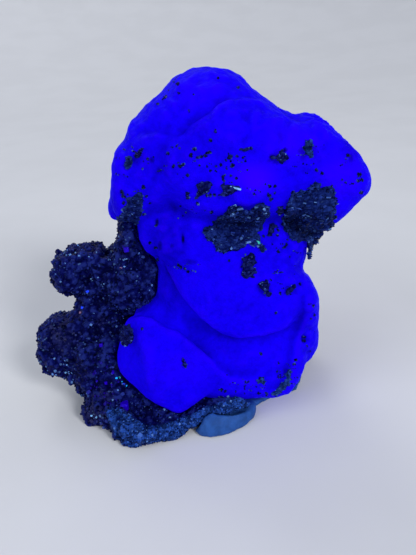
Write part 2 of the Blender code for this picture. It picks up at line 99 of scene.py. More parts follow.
class SpecimenColours(bpy.types.PropertyGroup):
    """Colours of the minerals, the putty and the stage."""

    # The fluorite's emission is a painted glow: it glows blue by itself, though no lamp in the scene makes it
    # fluoresce.
    fluorite: colour("Fluorite", (0.0036, 0.0, 0.52), "Body colour of the glowing fluorite")
    # Painted shade: the colour the fluorite takes in its shaded zones and in its creases.
    fluorite_painted_shade: colour("Fluorite, deep", (0.0010, 0.0, 0.15), "The fluorite's weaker zones")
    # Painted highlight: the violet the fluorite takes where the light falls brightest and on its ridges.
    fluorite_violet_highlight: colour("Fluorite, violet", (0.018, 0.0, 0.74), "The fluorite's violet zones")
    pyrite_dark: colour("Pyrite, dark", (0.0003, 0.0004, 0.020), "The darkest pyrite")
    pyrite_middle: colour("Pyrite, middle", (0.0018, 0.0026, 0.058), "Most of the pyrite's grains")
    pyrite_light: colour("Pyrite, light", (0.010, 0.018, 0.145), "The pyrite's lighter grains")
    pyrite_olive: colour("Pyrite, olive", (0.026, 0.026, 0.070), "The pyrite's few olive grains")
    # Painted glint: bright colour on a few grains that stands in for crystal faces catching the light.
    painted_glint: colour("Glint", (0.11, 0.24, 0.60), "The few bright crystal faces")
    crust: colour("Crust", (0.011, 0.042, 0.22), "The pale crust at the foot")
    crust_dark: colour("Crust, dark", (0.0012, 0.004, 0.055), "The dark grains of the pale crust")
    putty: colour("Putty", (0.017, 0.072, 0.28), "The mounting putty")
    floor: colour("Floor", (0.56, 0.57, 0.60), "The pale floor")


def sizes():
    return bpy.context.scene.specimen_sizes


def shade(name, strength=1.0):
    """One of the set colours, made lighter or darker by a factor."""
    return tuple(min(1.0, strength * part) for part in getattr(bpy.context.scene.specimen_colours, name))


class Wire:
    """A shader socket that can be used in sums: an expression on wires adds its Math nodes."""

    def __init__(self, maker, socket):
        self.maker = maker
        self.socket = socket

    def math(self, operation, *values):
        return self.maker.node("ShaderNodeMath", {"operation": operation}, values)

    def __add__(self, other):
        return self.math("ADD", self, other)

    def __radd__(self, other):
        return self.math("ADD", other, self)

    def __sub__(self, other):
        return self.math("SUBTRACT", self, other)

    def __rsub__(self, other):
        return self.math("SUBTRACT", other, self)

    def __mul__(self, other):
        return self.math("MULTIPLY", self, other)

    def __rmul__(self, other):
        return self.math("MULTIPLY", other, self)

    def __gt__(self, other):
        return self.math("GREATER_THAN", self, other)


class Material:
    """A Principled material whose patterns are made by one node call."""

    def __init__(self, name, roughness, metallic=0.0, **constants):
        self.made = bpy.data.materials.new(name)
        self.made.use_nodes = True
        self.tree = self.made.node_tree
        self.shader = self.tree.nodes["Principled BSDF"]
        self.feed(self.shader, "Roughness", roughness)
        self.feed(self.shader, "Metallic", metallic)
        for socket, value in constants.items():
            self.feed(self.shader, socket.replace("_", " "), value)

    def feed(self, node, socket, value):
        into = node.inputs[socket]
        if isinstance(value, Wire):
            self.tree.links.new(value.socket, into)
        elif isinstance(value, tuple) and len(into.default_value) > len(value):
            into.default_value = (*value, 1.0)
        else:
            into.default_value = value

    def set(self, socket, value):
        self.feed(self.shader, socket, value)

    def node(self, kind, settings=None, values=(), output=0):
        """Adds a node: its settings first, then the values or wires of its sockets, by place or by name."""
        made = self.tree.nodes.new(kind)
        for name, value in (settings or {}).items():
            if name == "stops":
                self.stops(made.color_ramp, value)
            else:
                setattr(made, name, value)
        named = values.items() if isinstance(values, dict) else enumerate(values)
        for socket, value in named:
            self.feed(made, socket, value)
        return Wire(self, made.outputs[output])

    @staticmethod
    def stops(ramp, stops):
        while len(ramp.elements) < len(stops):
            ramp.elements.new(1.0)
        for element, (share, tint) in zip(ramp.elements, stops):
            element.position = share
            element.color = (*tint, 1.0)

    def place(self):
        return self.node("ShaderNodeTexCoord", output="Object")

    def attribute(self, name):
        return self.node("ShaderNodeAttribute", {"attribute_name": name}, output="Fac")

    def noise(self, size, detail=3.0, rough=0.5):
        """A cloudy pattern whose features are about this many millimetres across."""
        return self.node("ShaderNodeTexNoise", {}, {"Vector": self.place(), "Scale": 1.0 / (size * MM),
                                                    "Detail": detail, "Roughness": rough})

    def cells(self, size, metric="EUCLIDEAN", output="Distance"):
        return self.node("ShaderNodeTexVoronoi", {"distance": metric},
                         {"Vector": self.place(), "Scale": 1.0 / (size * MM)}, output)

    def range(self, value, low, high, to_low=0.0, to_high=1.0):
        return self.node("ShaderNodeMapRange", {"clamp": True}, (value, low, high, to_low, to_high))

    def ramp(self, value, *stops):
        return self.node("ShaderNodeValToRGB", {"stops": stops}, (value,))

    def mix(self, share, first, second):
        return self.node("ShaderNodeMix", {"data_type": "RGBA"}, {0: share, 6: first, 7: second}, 2)

    def bump(self, height, depth):
        """Bumps this many millimetres deep."""
        self.set("Normal", self.node("ShaderNodeBump", {}, {"Height": height, "Distance": depth * MM}))


def place(point):
    """A point of the layout in millimetres, as a place in the model's frame in metres."""
    return Vector((point[0] - FOOTPRINT_MIDDLE[0], point[1] - FOOTPRINT_MIDDLE[1], point[2])) * MM


EYE = place(CAMERA_PLACE)
EYE_TURN = (Matrix.Rotation(math.radians(90.0 - CAMERA_PITCH), 3, "X")
            @ Matrix.Rotation(math.radians(CAMERA_ROLL), 3, "Z"))


def picture_of(points):
    """Where points are seen in the photograph, in pixels, and how many millimetres a pixel spans there."""
    local = (points - np.array(EYE)) @ np.array(EYE_TURN)
    depth = -local[:, 2]
    across = PICTURE[0] / 2 + CAMERA_FOCAL * local[:, 0] / depth
    down = PICTURE[1] / 2 - CAMERA_FOCAL * local[:, 1] / depth
    return np.stack([across, down], axis=1), depth / CAMERA_FOCAL / MM


def spot_at(tree, across, down):
    """The spot on a skin that this pixel of the photograph shows, and the normal there, or two Nones."""
    local = Vector(((across - PICTURE[0] / 2) / CAMERA_FOCAL, (PICTURE[1] / 2 - down) / CAMERA_FOCAL, -1.0))
    return tree.ray_cast(EYE, (EYE_TURN @ local).normalized())[:2]


def only(piece):
    """Makes this piece the one that is selected and active."""
    bpy.ops.object.select_all(action="DESELECT")
    piece.select_set(True)
    bpy.context.view_layer.objects.active = piece


def new_piece(name, mesh):
    piece = bpy.data.objects.new(name, mesh)
    bpy.context.scene.collection.objects.link(piece)
    return piece


def copy_of(node, name):
    """A new piece that starts as the node's own surface, with its loose triangles merged."""
    piece = new_piece(name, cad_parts[node].data.copy())
    piece.data.materials.clear()
    only(piece)
    bpy.ops.object.mode_set(mode="EDIT")
    bpy.ops.mesh.select_all(action="SELECT")
    bpy.ops.mesh.remove_doubles(threshold=1e-6)
    bpy.ops.object.mode_set(mode="OBJECT")
    return piece


def join(first, *others):
    only(first)
    for other in others:
        other.select_set(True)
    bpy.ops.object.join()
    return first


def apply(piece, kind, **settings):
    only(piece)
    step = piece.modifiers.new(kind.lower(), kind)
    for name, value in settings.items():
        setattr(step, name, value)
    bpy.ops.object.modifier_apply(modifier=step.name)
    return piece


def remesh(piece, grid):
    return apply(piece, "REMESH", mode="VOXEL", voxel_size=grid, use_smooth_shade=True)


def raise_pattern(piece, kind, size, depth, group="", **settings):
    """Moves the skin in and out by a procedural pattern, inside a vertex group if one is named."""
    texture = bpy.data.textures.new(piece.name + "_pattern", kind)
    texture.noise_scale = size * MM
    for name, value in settings.items():
        setattr(texture, name, value)
    return apply(piece, "DISPLACE", texture=texture, texture_coords="LOCAL", strength=depth, mid_level=0.5,
                 vertex_group=group)


def points_of(piece):
    co = np.empty(len(piece.data.vertices) * 3, np.float32)
    piece.data.vertices.foreach_get("co", co)
    return co.reshape(-1, 3)


def normals_of(piece):
    normals = np.empty(len(piece.data.vertices) * 3, np.float32)
    piece.data.vertex_normals.foreach_get("vector", normals)
    return normals.reshape(-1, 3)


def move_to(piece, points):
    piece.data.vertices.foreach_set("co", points.astype(np.float32).ravel())
    piece.data.update()


def keep_above_floor(piece):
    points = points_of(piece)
    points[:, 2] = np.maximum(points[:, 2], 0.0)
    move_to(piece, points)


def ease(value, low, high):
    share = np.clip((value - low) / (high - low), 0.0, 1.0)
    return share * share * (3.0 - 2.0 * share)


def hollowness(piece, passes):
    """How deep each point lies in a crease, in millimetres; on a ridge it is below zero."""
    edges = np.empty(len(piece.data.edges) * 2, np.int32)
    piece.data.edges.foreach_get("vertices", edges)
    one, two = edges.reshape(-1, 2).T
    points = points_of(piece).astype(float)
    count = len(points)
    neighbours = np.bincount(one, minlength=count) + np.bincount(two, minlength=count)
    smooth = points.copy()
    for _ in range(passes):
        for axis in range(3):
            total = np.bincount(one, smooth[two, axis], count) + np.bincount(two, smooth[one, axis], count)
            smooth[:, axis] = 0.5 * (smooth[:, axis] + total / neighbours)
    return ((smooth - points) * normals_of(piece)).sum(axis=1) / MM


def note(piece, name, values):
    """Writes one number for each point of the piece, for its material to read."""
    made = piece.data.attributes.new(name, "FLOAT", "POINT")
    made.data.foreach_set("value", np.asarray(values, np.float32))


def finish(piece, material, slot, *nodes):
    piece.data.materials.clear()
    piece.data.materials.append(material)
    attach(piece, BODY)
    if nodes:
        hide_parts(*nodes)
    return piece


def tree_of(piece):
    bm = bmesh.new()
    bm.from_mesh(piece.data)
    tree = BVHTree.FromBMesh(bm)
    bm.free()
    return tree


class Seen:
    """The points of a piece as the photograph shows them, for marks that are placed by its pixels."""

    def __init__(self, piece):
        self.points = points_of(piece)
        self.normals = normals_of(piece)
        self.pixels, self.span = picture_of(self.points)
        towards = np.array(EYE) - self.points
        towards /= np.linalg.norm(towards, axis=1)[:, None]
        self.front = ease((self.normals * towards).sum(axis=1), -0.05, 0.30)

    def line(self, line):
        """Distance to a line of pixels in millimetres, the side (+1 is right of its course), and to its ends."""
        best = np.full(len(self.pixels), 1e9)
        side = np.zeros(len(self.pixels))
        for start, end in zip(line[:-1], line[1:]):
            along = np.array(end) - np.array(start)
            share = np.clip(((self.pixels - start) @ along) / (along @ along), 0.0, 1.0)
            away = self.pixels - (np.array(start) + share[:, None] * along)
            reach = np.hypot(away[:, 0], away[:, 1])
            nearer = reach < best
            best = np.where(nearer, reach, best)
            side = np.where(nearer, np.sign(along[0] * away[:, 1] - along[1] * away[:, 0]), side)
        ends = np.minimum(*(np.hypot(*(self.pixels - end).T) for end in (line[0], line[-1])))
        return best * self.span, side, ends * self.span

    def oval(self, oval):
        """How near each point is to the middle of an oval of pixels: 1 in its middle, 0 from its edge on."""
        across, down, half_width, half_height = oval[:4]
        reach = np.hypot((self.pixels[:, 0] - across) / half_width, (self.pixels[:, 1] - down) / half_height)
        return np.clip(1.0 - reach * reach, 0.0, 1.0) ** 2 * self.front

    def inside(self, outline, ragged=0.0):
        """Which points lie inside an outline of pixels, whose edge is ragged by this many pixels."""
        pixels = self.pixels.copy()
        if ragged:
            for index, point in enumerate(self.points / MM):
                coarse = noise.noise_vector(Vector(point) / 1.3)
                fine = noise.noise_vector(Vector(point) / 0.5)
                pixels[index] += ragged * np.array((coarse[0] + 0.6 * fine[0], coarse[1] + 0.6 * fine[1]))
        crossings = np.zeros(len(pixels), int)
        for (x0, y0), (x1, y1) in zip(outline, outline[1:] + outline[:1]):
            if y0 == y1:
                continue
            between = (pixels[:, 1] >= min(y0, y1)) & (pixels[:, 1] < max(y0, y1))
            crossings += between & (pixels[:, 0] < x0 + (pixels[:, 1] - y0) * (x1 - x0) / (y1 - y0))
        return (crossings % 2 == 1) & (self.front > 0.0)


def dent(piece, dents):
    """Rounds off corners and sinks cavities, both placed by the photograph's pixels."""
    seen = Seen(piece)
    inwards = np.zeros(len(seen.points))
    for across, down, half_width, half_height, depth, around in dents:
        reach = np.hypot((seen.pixels[:, 0] - across) / half_width, (seen.pixels[:, 1] - down) / half_height)
        inwards += depth * np.clip(1.0 - reach * reach, 0.0, 1.0) ** 2 * np.maximum(seen.front, around)
    move_to(piece, seen.points - seen.normals * (inwards * MM)[:, None])


# Every mark below is placed by the photograph's pixels, and is as high, deep or wide as its millimetres say.
# Lips: the line's points, then how far the side to the right of its course stands out and over what
# distance that dies away, and the same for how far the left side sinks.
LIPS = {
    "crown_foot": (((128, 140), (143, 136.5), (157, 133.5), (171, 137), (184, 134.5), (192, 124), (208, 115),
                    (217, 106.5), (235, 98), (246, 98), (263, 101), (273, 108)), 0.45, 1.8, 0.15, 1.2),
    "brow_ledge": (((188, 168), (200, 160), (211, 153), (217, 147)), 0.7, 2.2, 0.3, 2.0),
    "brow_step": (((163, 146), (168, 142.5), (174, 140), (184, 137.5)), 0.6, 2.0, 0.3, 1.4),
    "brow_upper_step": (((180, 143), (192, 131), (200, 126.5), (208, 122), (216, 113)), 0.6, 2.4, 0.3, 1.6),
    "nose": (((271, 198), (262, 201), (255, 203.5), (246, 206.5), (238, 203), (231, 198), (226, 194)),
             0.4, 1.8, 0.15, 1.4),
    "chest_edge": (((300, 317), (285, 328.5), (262, 336), (238.5, 338), (223, 334), (211, 326), (198.5, 315.5),
                    (186, 301.5), (175.5, 286), (167.5, 269), (165, 258)), 0.55, 2.6, 0.6, 2.0),
    "block_edge": (((127, 316), (143, 316.5), (152, 318.5), (166, 328), (177, 331), (191, 341.5),
                    (201.5, 351), (214, 361.5), (218, 368), (229, 375.5), (248, 379), (264, 378)),
                   0.6, 2.6, 0.7, 2.2),
    "neck_side": (((163, 272), (158, 250), (155, 226)), 0.5, 2.0, 0.5, 1.6),
    "rim_seam": (((262, 395), (281, 387), (290, 369), (294, 354), (294.5, 341), (301.5, 325), (306, 312),
                  (305, 288)), 0.6, 1.6, 0.6, 1.4),
    "waist_shell": (((270, 300), (277, 303), (284, 302), (290, 297)), 0.5, 1.0, 0.4, 1.0),
    "right_lobe_top": (((266, 118), (279, 116.5), (292, 120)), 0.6, 2.4, 0.6, 1.4),
}

# Creases, or ridges where the depth is negative: the line's points, the depth and the half width.
CREASES = {
    "right_lobe_seam": (((292, 119), (286, 124), (283, 133), (281, 146)), 0.7, 1.1),
    "right_lobe_bevel": (((311, 115), (331, 129), (344.5, 141.5), (354, 155.5), (358.5, 171), (356, 188)),
                         -0.9, 1.8),
    "left_lobe_seam": (((164, 142), (161.5, 153), (160, 172), (153, 184), (145, 193)), 0.6, 1.1),
    "brow_fold": (((239, 117), (246, 118), (250, 122), (249, 131), (243, 142)), 0.5, 0.7),
    "brow_fold_low": (((281, 146), (283, 137), (277, 131)), 0.35, 0.7),
    "neck_slot": (((181.5, 230), (183, 238), (185, 245)), 1.2, 0.45),
    "neck_slot_left": (((156, 217), (157, 228)), 0.8, 0.45),
    "neck_slot_low": (((176, 264), (183, 268), (190, 273)), 0.7, 0.45),
    "block_ridge": (((147, 350), (146.5, 366), (150, 384), (158, 398)), -0.4, 1.8),
    "block_left_dent": (((137, 350), (137, 362), (141, 378)), 0.5, 1.6),
    "rim_roll": (((283, 394), (295.5, 378), (304.5, 356), (311, 337), (313, 319), (311, 300)), -0.7, 1.3),
    "rim_notch_upper": (((306, 327), (317, 330)), 0.6, 0.6),
    "rim_notch_lower": (((302, 349), (314, 352)), 0.6, 0.6),
    "crown_dent": (((168, 128), (176, 118), (183, 108), (196, 98)), 0.3, 1.0),
    "crown_crease": (((186, 92), (198, 84), (212, 79), (224, 80), (233, 86)), 0.35, 0.6),
}

# Hollows, or bulges where the depth is negative: the middle, the half width and half height, and the depth.
HOLLOWS = {
    "nose": (255, 187, 17, 15, -1.1),
    "left_lobe_pit": (133, 160, 12, 16, 1.0),
    "left_lobe_pit_low": (123, 196, 6, 10, 0.7),
    "right_brow_pit": (279, 157, 11, 10, 1.1),
    "right_lobe_pits": (309, 149, 10, 11, 0.7),
    "right_edge_pit": (360, 178, 7, 9, 0.8),
    "under_neck": (171, 290, 12, 28, 0.3),
    "saddle_left": (190, 325, 16, 20, 0.2),
    "saddle": (228, 352, 26, 13, 0.2),
    "waist_pit": (263, 289, 11, 11, 1.2),
    "waist_pit_right": (291, 289, 10, 8, 1.0),
    "waist_pit_upper": (249, 266, 10, 13, 0.9),
    "waist_pit_far": (286, 247, 9, 10, 0.7),
    "rim_hole": (304, 339, 4.0, 6.5, 2.2),
    "rim_ring": (300, 284, 4.5, 4.5, 0.9),
    "rim_foot": (287, 372, 6, 10, 1.0),
    "crown_face": (208, 98, 26, 18, -0.5),
    "brow_cheek": (225, 135, 22, 18, -0.5),
    "neck_swell": (195, 222, 12, 14, -0.6),
}

# Rough places, where the fluorite is covered in small bumps: ovals of pixels and a strength.
ROUGH = {
    "brow_left": (168, 166, 34, 26, 1.0),
    "left_lobe": (130, 170, 26, 44, 0.8),
    "neck": (168, 236, 32, 46, 0.9),
    "brow_low": (222, 180, 40, 22, 0.9),
    "waist": (286, 262, 44, 52, 1.3),
    "chest": (240, 312, 50, 28, 0.7),
    "rim": (309, 332, 14, 66, 1.1),
    "foot": (248, 388, 50, 22, 0.9),
    "right_lobe": (312, 150, 24, 24, 0.7),
}

# Zones of painted shade, where the fluorite is turned from the light or lies under an overhang; zones of painted violet
# highlight, where the light falls brightest; and soft dark smudges of pyrite under the surface: ovals and a strength.
PAINTED_SHADE_ZONES = ((166, 232, 34, 60, 1.2), (170, 292, 16, 42, 1.2), (212, 346, 50, 22, 0.7), (160, 164, 40, 30, 0.6),
        (350, 146, 14, 34, 0.7), (301, 322, 10, 24, 0.8), (135, 364, 12, 34, 0.35), (114, 208, 10, 18, 0.9),
        (272, 230, 12, 24, 0.9), (150, 384, 20, 12, 0.5), (246, 208, 22, 8, 0.9), (190, 150, 22, 14, 0.5))
PAINTED_VIOLET_HIGHLIGHTS = ((254, 178, 34, 24, 1.0), (338, 178, 30, 36, 0.6), (292, 142, 44, 30, 0.5), (200, 92, 40, 24, 0.35),
          (180, 370, 40, 26, 0.3))
SMUDGES = ((272, 157, 5, 4, 1.0), (282, 158, 6, 7, 1.2), (285, 150, 4, 4, 0.9), (152, 160, 5, 6, 0.6),
           (127, 166, 6, 8, 0.7), (157, 222, 3, 6, 0.8), (172, 246, 4, 5, 0.5), (160, 246, 4, 8, 0.6),
           (351, 158, 4, 8, 0.5), (183, 239, 2.5, 8, 0.9), (190, 262, 14, 5, 0.4))


class SPECIMEN_OT_fluorite(bpy.types.Operator):
    """Grow the fine skin of the fluorite"""

    bl_idname = "specimen.fluorite"
    bl_label = "Fluorite"

    def execute(self, context):
        piece = copy_of("fluorite", "fluorite_skin")
        remesh(piece, sizes().fluorite_grid)
        apply(piece, "SMOOTH", iterations=12)
        raise_pattern(piece, "CLOUDS", 7.0, sizes().swell_depth)
        raise_pattern(piece, "VORONOI", 4.2, -0.5 * sizes().swell_depth, distance_metric="CHEBYCHEV")
        self.growth_steps(piece)
        self.marks(piece)
        remesh(piece, sizes().fluorite_grid)
        self.rough_places(piece)
        self.waves(piece)
        remesh(piece, sizes().fluorite_grid)
        apply(piece, "SMOOTH", iterations=1, factor=0.5)
        keep_above_floor(piece)
        bpy.ops.object.shade_smooth()
        self.zones(piece)
        finish(piece, fluorite_material(), "fluorite", "fluorite")
        return {"FINISHED"}

    def growth_steps(self, piece):
        """Steps round the crown and over the right lobe, like the edges of growing layers."""
        points = points_of(piece) / MM
        normals = normals_of(piece)
        wave = (0.5 * np.sin(points[:, 0] * 0.7 + points[:, 2] * 0.4) + 0.4 * np.sin(points[:, 1] * 1.1)
                + 0.25 * np.sin(points[:, 0] * 1.9 - points[:, 2] * 1.3))
        height = np.zeros(len(points))
        spacing = sizes().step_spacing / MM
        for axis, low, high, share in (((-0.05, -0.55, 0.83), 71.0, 77.0, 1.0),
                                       ((0.60, -0.30, 0.74), 58.0, 66.0, 0.45),
                                       ((-0.30, -0.20, 0.93), 20.0, 60.0, 0.25)):
            ring = (points @ np.array(axis) + wave) / (spacing * (1.0 if share == 1.0 else 1.5))
            height += share * (ring % 1.0 - 0.5) * ease(points[:, 2], low, high)
        move_to(piece, points * MM + normals * (sizes().step_height * height)[:, None])

    def marks(self, piece):
        seen = Seen(piece)
        height = np.zeros(len(seen.points))
        for line, rise, reach, sink, sink_reach in LIPS.values():
            distance, side, ends = seen.line(line)
            across = ease(distance * side, -0.35, 0.35)
            edge = rise * across * np.exp(-distance / reach) - sink * (1.0 - across) * np.exp(-distance / sink_reach)
            height += edge * ease(ends, 0.0, 4.0) * seen.front
        for line, depth, half_width in CREASES.values():
            distance, _, ends = seen.line(line)
            height -= depth * np.exp(-(distance / half_width) ** 2) * ease(ends, -1.0, 1.5) * seen.front
        for hollow in HOLLOWS.values():
            height -= hollow[4] * seen.oval(hollow)
        move_to(piece, seen.points + seen.normals * (height * MM)[:, None])

    def rough_places(self, piece):
        seen = Seen(piece)
        strength = np.clip(sum(oval[4] * seen.oval(oval) for oval in ROUGH.values()) + 0.15 + 0.35 * (1 - seen.front), 0, 1)
        group = piece.vertex_groups.new(name="rough")
        for step in range(1, 11):
            members = np.nonzero(np.round(strength * 10).astype(int) == step)[0]
            group.add(members.tolist(), step / 10, "REPLACE")
        depth = sizes().mottle_depth
        raise_pattern(piece, "CLOUDS", 1.7, depth, "rough")
        raise_pattern(piece, "VORONOI", 1.6, -0.7 * depth, "rough", distance_metric="DISTANCE_SQUARED")

    def waves(self, piece):
        """Waves that hang down the chest, as where growing layers ran into each other."""
        seen = Seen(piece)
        across, down = seen.pixels.T
        wave = np.sin(across * 0.85 + 1.6 * np.sin(down * 0.16) + 1.6 * np.sin(across * 0.31))
        broken = ease(thick_at(seen.points, 3.0), 0.42, 0.62)
        height = wave * broken * (seen.oval((216, 305, 30, 22)) + 0.4 * seen.oval((262, 318, 34, 20)))
        height += np.sin(down * 0.55 + 2.5 * np.sin(across * 0.12)) * broken * 0.6 * seen.oval((246, 330, 50, 16))
        move_to(piece, seen.points + seen.normals * (sizes().wave_height * height)[:, None])

    def zones(self, piece):
        seen = Seen(piece)
        # The deep note holds the painted shade zones, the violet note the painted violet highlight, and the crease note
        # drives painted shade in creases and painted highlight on ridges. The smudges are pyrite.
        for name, ovals in (("deep", PAINTED_SHADE_ZONES), ("violet", PAINTED_VIOLET_HIGHLIGHTS), ("smudge", SMUDGES)):
            note(piece, name, np.clip(sum(oval[4] * seen.oval(oval) for oval in ovals), 0.0, 1.0))
        note(piece, "crease", 6.0 * hollowness(piece, 4) + 1.5 * hollowness(piece, 30))


def fluorite_material():
    # The emission makes this material a painted glow: the fluorite glows blue by itself, in place of the fluorescence a
    # UV lamp would cause, though the scene has no such lamp.
    own = Material("fluorite", 0.5, Specular_IOR_Level=0.012, IOR=1.434, Specular_Tint=(0.05, 0.0, 1.0),
                   Emission_Strength=0.56)
    cloud = own.noise(8.0, 4.0)
    fine = own.noise(1.3, 6.0, 0.65)
    crease = own.attribute("crease")
    # deep is painted shade: darker in the shaded zones and in creases, with a random cloudy tone mixed in.
    deep = own.range(own.attribute("deep") * 0.50 + own.range(cloud, 0.45, 0.70) * 0.20
                     + own.range(fine, 0.46, 0.66) * 0.26 + own.range(crease, 0.0, 1.2) * 0.7, 0.0, 1.4)
    # ridge and violet together make a painted violet highlight: on ridges, and in the zones where the light falls
    # brightest, broken up by a cloudy pattern.
    ridge = own.range(crease, -0.9, -0.1, 1.0, 0.0)
    violet = own.range(own.attribute("violet") * own.range(cloud, 0.3, 0.6, 0.5, 1.0) * 0.7 + ridge * 0.2,
                       0.0, 1.0)
    smudge = own.range(own.attribute("smudge") * (0.6 + fine), 0.15, 0.8, 0.0, 0.94)
    tint = own.mix(violet, own.mix(deep, shade("fluorite"), shade("fluorite_painted_shade")), shade("fluorite_violet_highlight"))
    tint = own.mix(smudge, tint, shade("pyrite_dark"))
    own.set("Base Color", tint)
    own.set("Emission Color", tint)
    own.set("Roughness", own.range(fine, 0.3, 0.7, 0.40, 0.60))
    own.bump(own.cells(1.1, "CHEBYCHEV") * 0.35 + own.noise(0.8, 6.0, 0.6) * 0.65, 0.42)
    return own.made


def crystal_form(kind):
    """Points and faces of one small crystal, about 1 across, modelled once and then repeated."""
    bpy.ops.object.select_all(action="DESELECT")
    if kind == "grain":
        bpy.ops.mesh.primitive_ico_sphere_add(subdivisions=1, radius=0.55, location=(0, 0, 0))
    else:
        bpy.ops.mesh.primitive_cube_add(size=0.9, location=(0, 0, 0))
    form = bpy.context.active_object
    bpy.ops.object.mode_set(mode="EDIT")
    bpy.ops.mesh.select_all(action="SELECT")
    if kind == "corner_cut":
        bpy.ops.mesh.bevel(offset=0.22, affect="VERTICES")
    elif kind == "blade":
        bpy.ops.transform.resize(value=(1.7, 0.55, 0.34))
    bpy.ops.mesh.quads_convert_to_tris()
    bpy.ops.mesh.normals_make_consistent(inside=False)
    bpy.ops.object.mode_set(mode="OBJECT")
    points = points_of(form).astype(float)
    faces = np.array([face.vertices[:] for face in form.data.polygons])
    bpy.data.objects.remove(form, do_unlink=True)
    return points, faces


def random_turns(draw, count):
    """Turns spread evenly over all directions, as matrices."""
    quaternions = draw.normal(size=(count, 4))
    w, x, y, z = (quaternions / np.linalg.norm(quaternions, axis=1)[:, None]).T
    return np.array([[1 - 2 * (y * y + z * z), 2 * (x * y - z * w), 2 * (x * z + y * w)],
                     [2 * (x * y + z * w), 1 - 2 * (x * x + z * z), 2 * (y * z - x * w)],
                     [2 * (x * z - y * w), 2 * (y * z + x * w), 1 - 2 * (x * x + y * y)]]).transpose(2, 0, 1)


def level_turns(draw, count, wobble):
    """Turns that leave a crystal's long side nearly level and across the view, as matrices."""
    tip, swing = draw.normal(0.0, wobble, (2, count))
    roll = draw.uniform(0.0, math.pi, count)
    return np.array([(Matrix.Rotation(a, 3, "Y") @ Matrix.Rotation(b, 3, "Z") @ Matrix.Rotation(c, 3, "X"))
                     for a, b, c in zip(tip, swing, roll)])


def crystals(name, kind, places, widths, turns, tones, draw, uneven=0.3, notes=None):
    """One joined mesh of many crystals, each with its own place, width, turn and tone."""
    points, faces = crystal_form(kind)
    count = len(places)
    stretch = draw.uniform(1.0 - uneven, 1.0 + uneven, (count, 1, 3))
    co = np.einsum("nij,npj->npi", turns, points[None] * stretch) * widths[:, None, None] + places[:, None, :]
    co[:, :, 2] = np.maximum(co[:, :, 2], 0.0)
    index = faces[None] + (np.arange(count) * len(points))[:, None, None]
    mesh = bpy.data.meshes.new(name)
    mesh.from_pydata(co.reshape(-1, 3).tolist(), [], index.reshape(-1, 3).tolist())
    piece = new_piece(name, mesh)
    note(piece, "tone", np.repeat(tones, len(points)))
    for attribute, values in (notes or {}).items():
        note(piece, attribute, np.repeat(values, len(points)))
    return piece


def spots_on(piece, draw, count):
    """Spots spread evenly over a skin, with their normals."""
    mesh = piece.data
    mesh.calc_loop_triangles()
    corners = np.empty(len(mesh.loop_triangles) * 3, np.int32)
    mesh.loop_triangles.foreach_get("vertices", corners)
    a, b, c = points_of(piece)[corners.reshape(-1, 3)].transpose(1, 0, 2).astype(float)
    cross = np.cross(b - a, c - a)
    area = np.linalg.norm(cross, axis=1)
    pick = draw.choice(len(area), size=count, p=area / area.sum())
    u, v = draw.random(count), draw.random(count)
    over = u + v > 1
    u, v = np.where(over, 1 - u, u), np.where(over, 1 - v, v)
    spots = a[pick] + (b - a)[pick] * u[:, None] + (c - a)[pick] * v[:, None]
    return spots, cross[pick] / np.maximum(area[pick], 1e-15)[:, None]


def height_over(tree, spots):
    """How far each spot lies outside a skin, in millimetres, and negative inside it."""
    height = np.zeros(len(spots))
    for index, spot in enumerate(spots):
        near, normal, _, distance = tree.find_nearest(Vector(spot))
        height[index] = math.copysign(distance, (Vector(spot) - near).dot(normal)) / MM
    return height


def thick_at(spots, size):
    """A cloudy share from 0 to 1 for each spot, with clouds of about this many millimetres."""
    return np.array([0.5 + 0.5 * noise.noise(Vector(spot) / (size * MM)) for spot in spots])


# The pale crust along the foot and its lump at the left, as outlines of pixels.
PALE_CRUST = ((106, 410), (112, 406), (122, 410), (134, 418), (146, 426), (162, 425), (178, 419), (192, 414),
              (206, 408), (222, 402), (238, 396), (254, 389), (264, 393), (262, 402), (248, 407), (238, 412),
              (222, 418), (206, 424), (196, 431), (184, 437), (168, 444), (150, 449), (134, 449), (120, 442),
              (110, 426))
# Round knobs on the pale lump: a pixel and a radius in millimetres.
CRUST_KNOBS = ((109, 412, 1.3), (114, 418, 1.7), (121, 414, 1.9), (128, 420, 2.0), (118, 426, 1.6),
               (127, 430, 2.1), (117, 434, 1.4), (136, 427, 1.7), (140, 436, 1.8), (151, 434, 1.5))
# Dents of the matrix: the middle, the half width and half height in pixels, the depth in millimetres, and the
# share of it that the sides away from the camera take too.
DENTS = (
    (48, 242, 24, 20, 4.5, 1.0), (108, 232, 12, 16, 3.0, 1.0), (86, 284, 14, 18, 2.8, 0.0),
    (96, 304, 14, 10, 2.4, 0.0), (96, 334, 10, 12, 1.6, 0.0), (112, 352, 10, 18, 1.4, 0.0),
    (106, 248, 7, 13, 3.0, 0.6), (67, 389, 12, 10, 4.0, 1.0), (100, 402, 12, 10, 1.6, 0.2), (142, 412, 22, 10, 1.6, 0.0),
)
PUTTY_DENTS = ((300, 380, 14, 16, 5.0, 1.0),)
# More of the matrix's grains are light or carry a painted glint here, as painted sparkle where the knobs catch the
# light; more are olive here and violet here: ovals of pixels.
PAINTED_SPARKLE = ((76, 253, 14, 12, 0.28), (62, 366, 20, 12, 0.30), (88, 392, 12, 12, 0.20), (148, 286, 10, 22, 0.15),
             (118, 262, 14, 14, 0.12), (112, 386, 16, 14, 0.18), (94, 416, 10, 7, 0.35), (60, 274, 12, 16, 0.1),
             (122, 205, 8, 20, 0.12))
OLIVE = ((62, 338, 22, 22, 1.0), (92, 415, 14, 12, 1.0), (101, 322, 10, 10, 0.5), (106, 396, 12, 10, 0.5))
VIOLET_GRAINS = ((106, 384, 24, 36, 1.0), (126, 250, 7, 9, 0.8), (112, 352, 14, 16, 0.6))


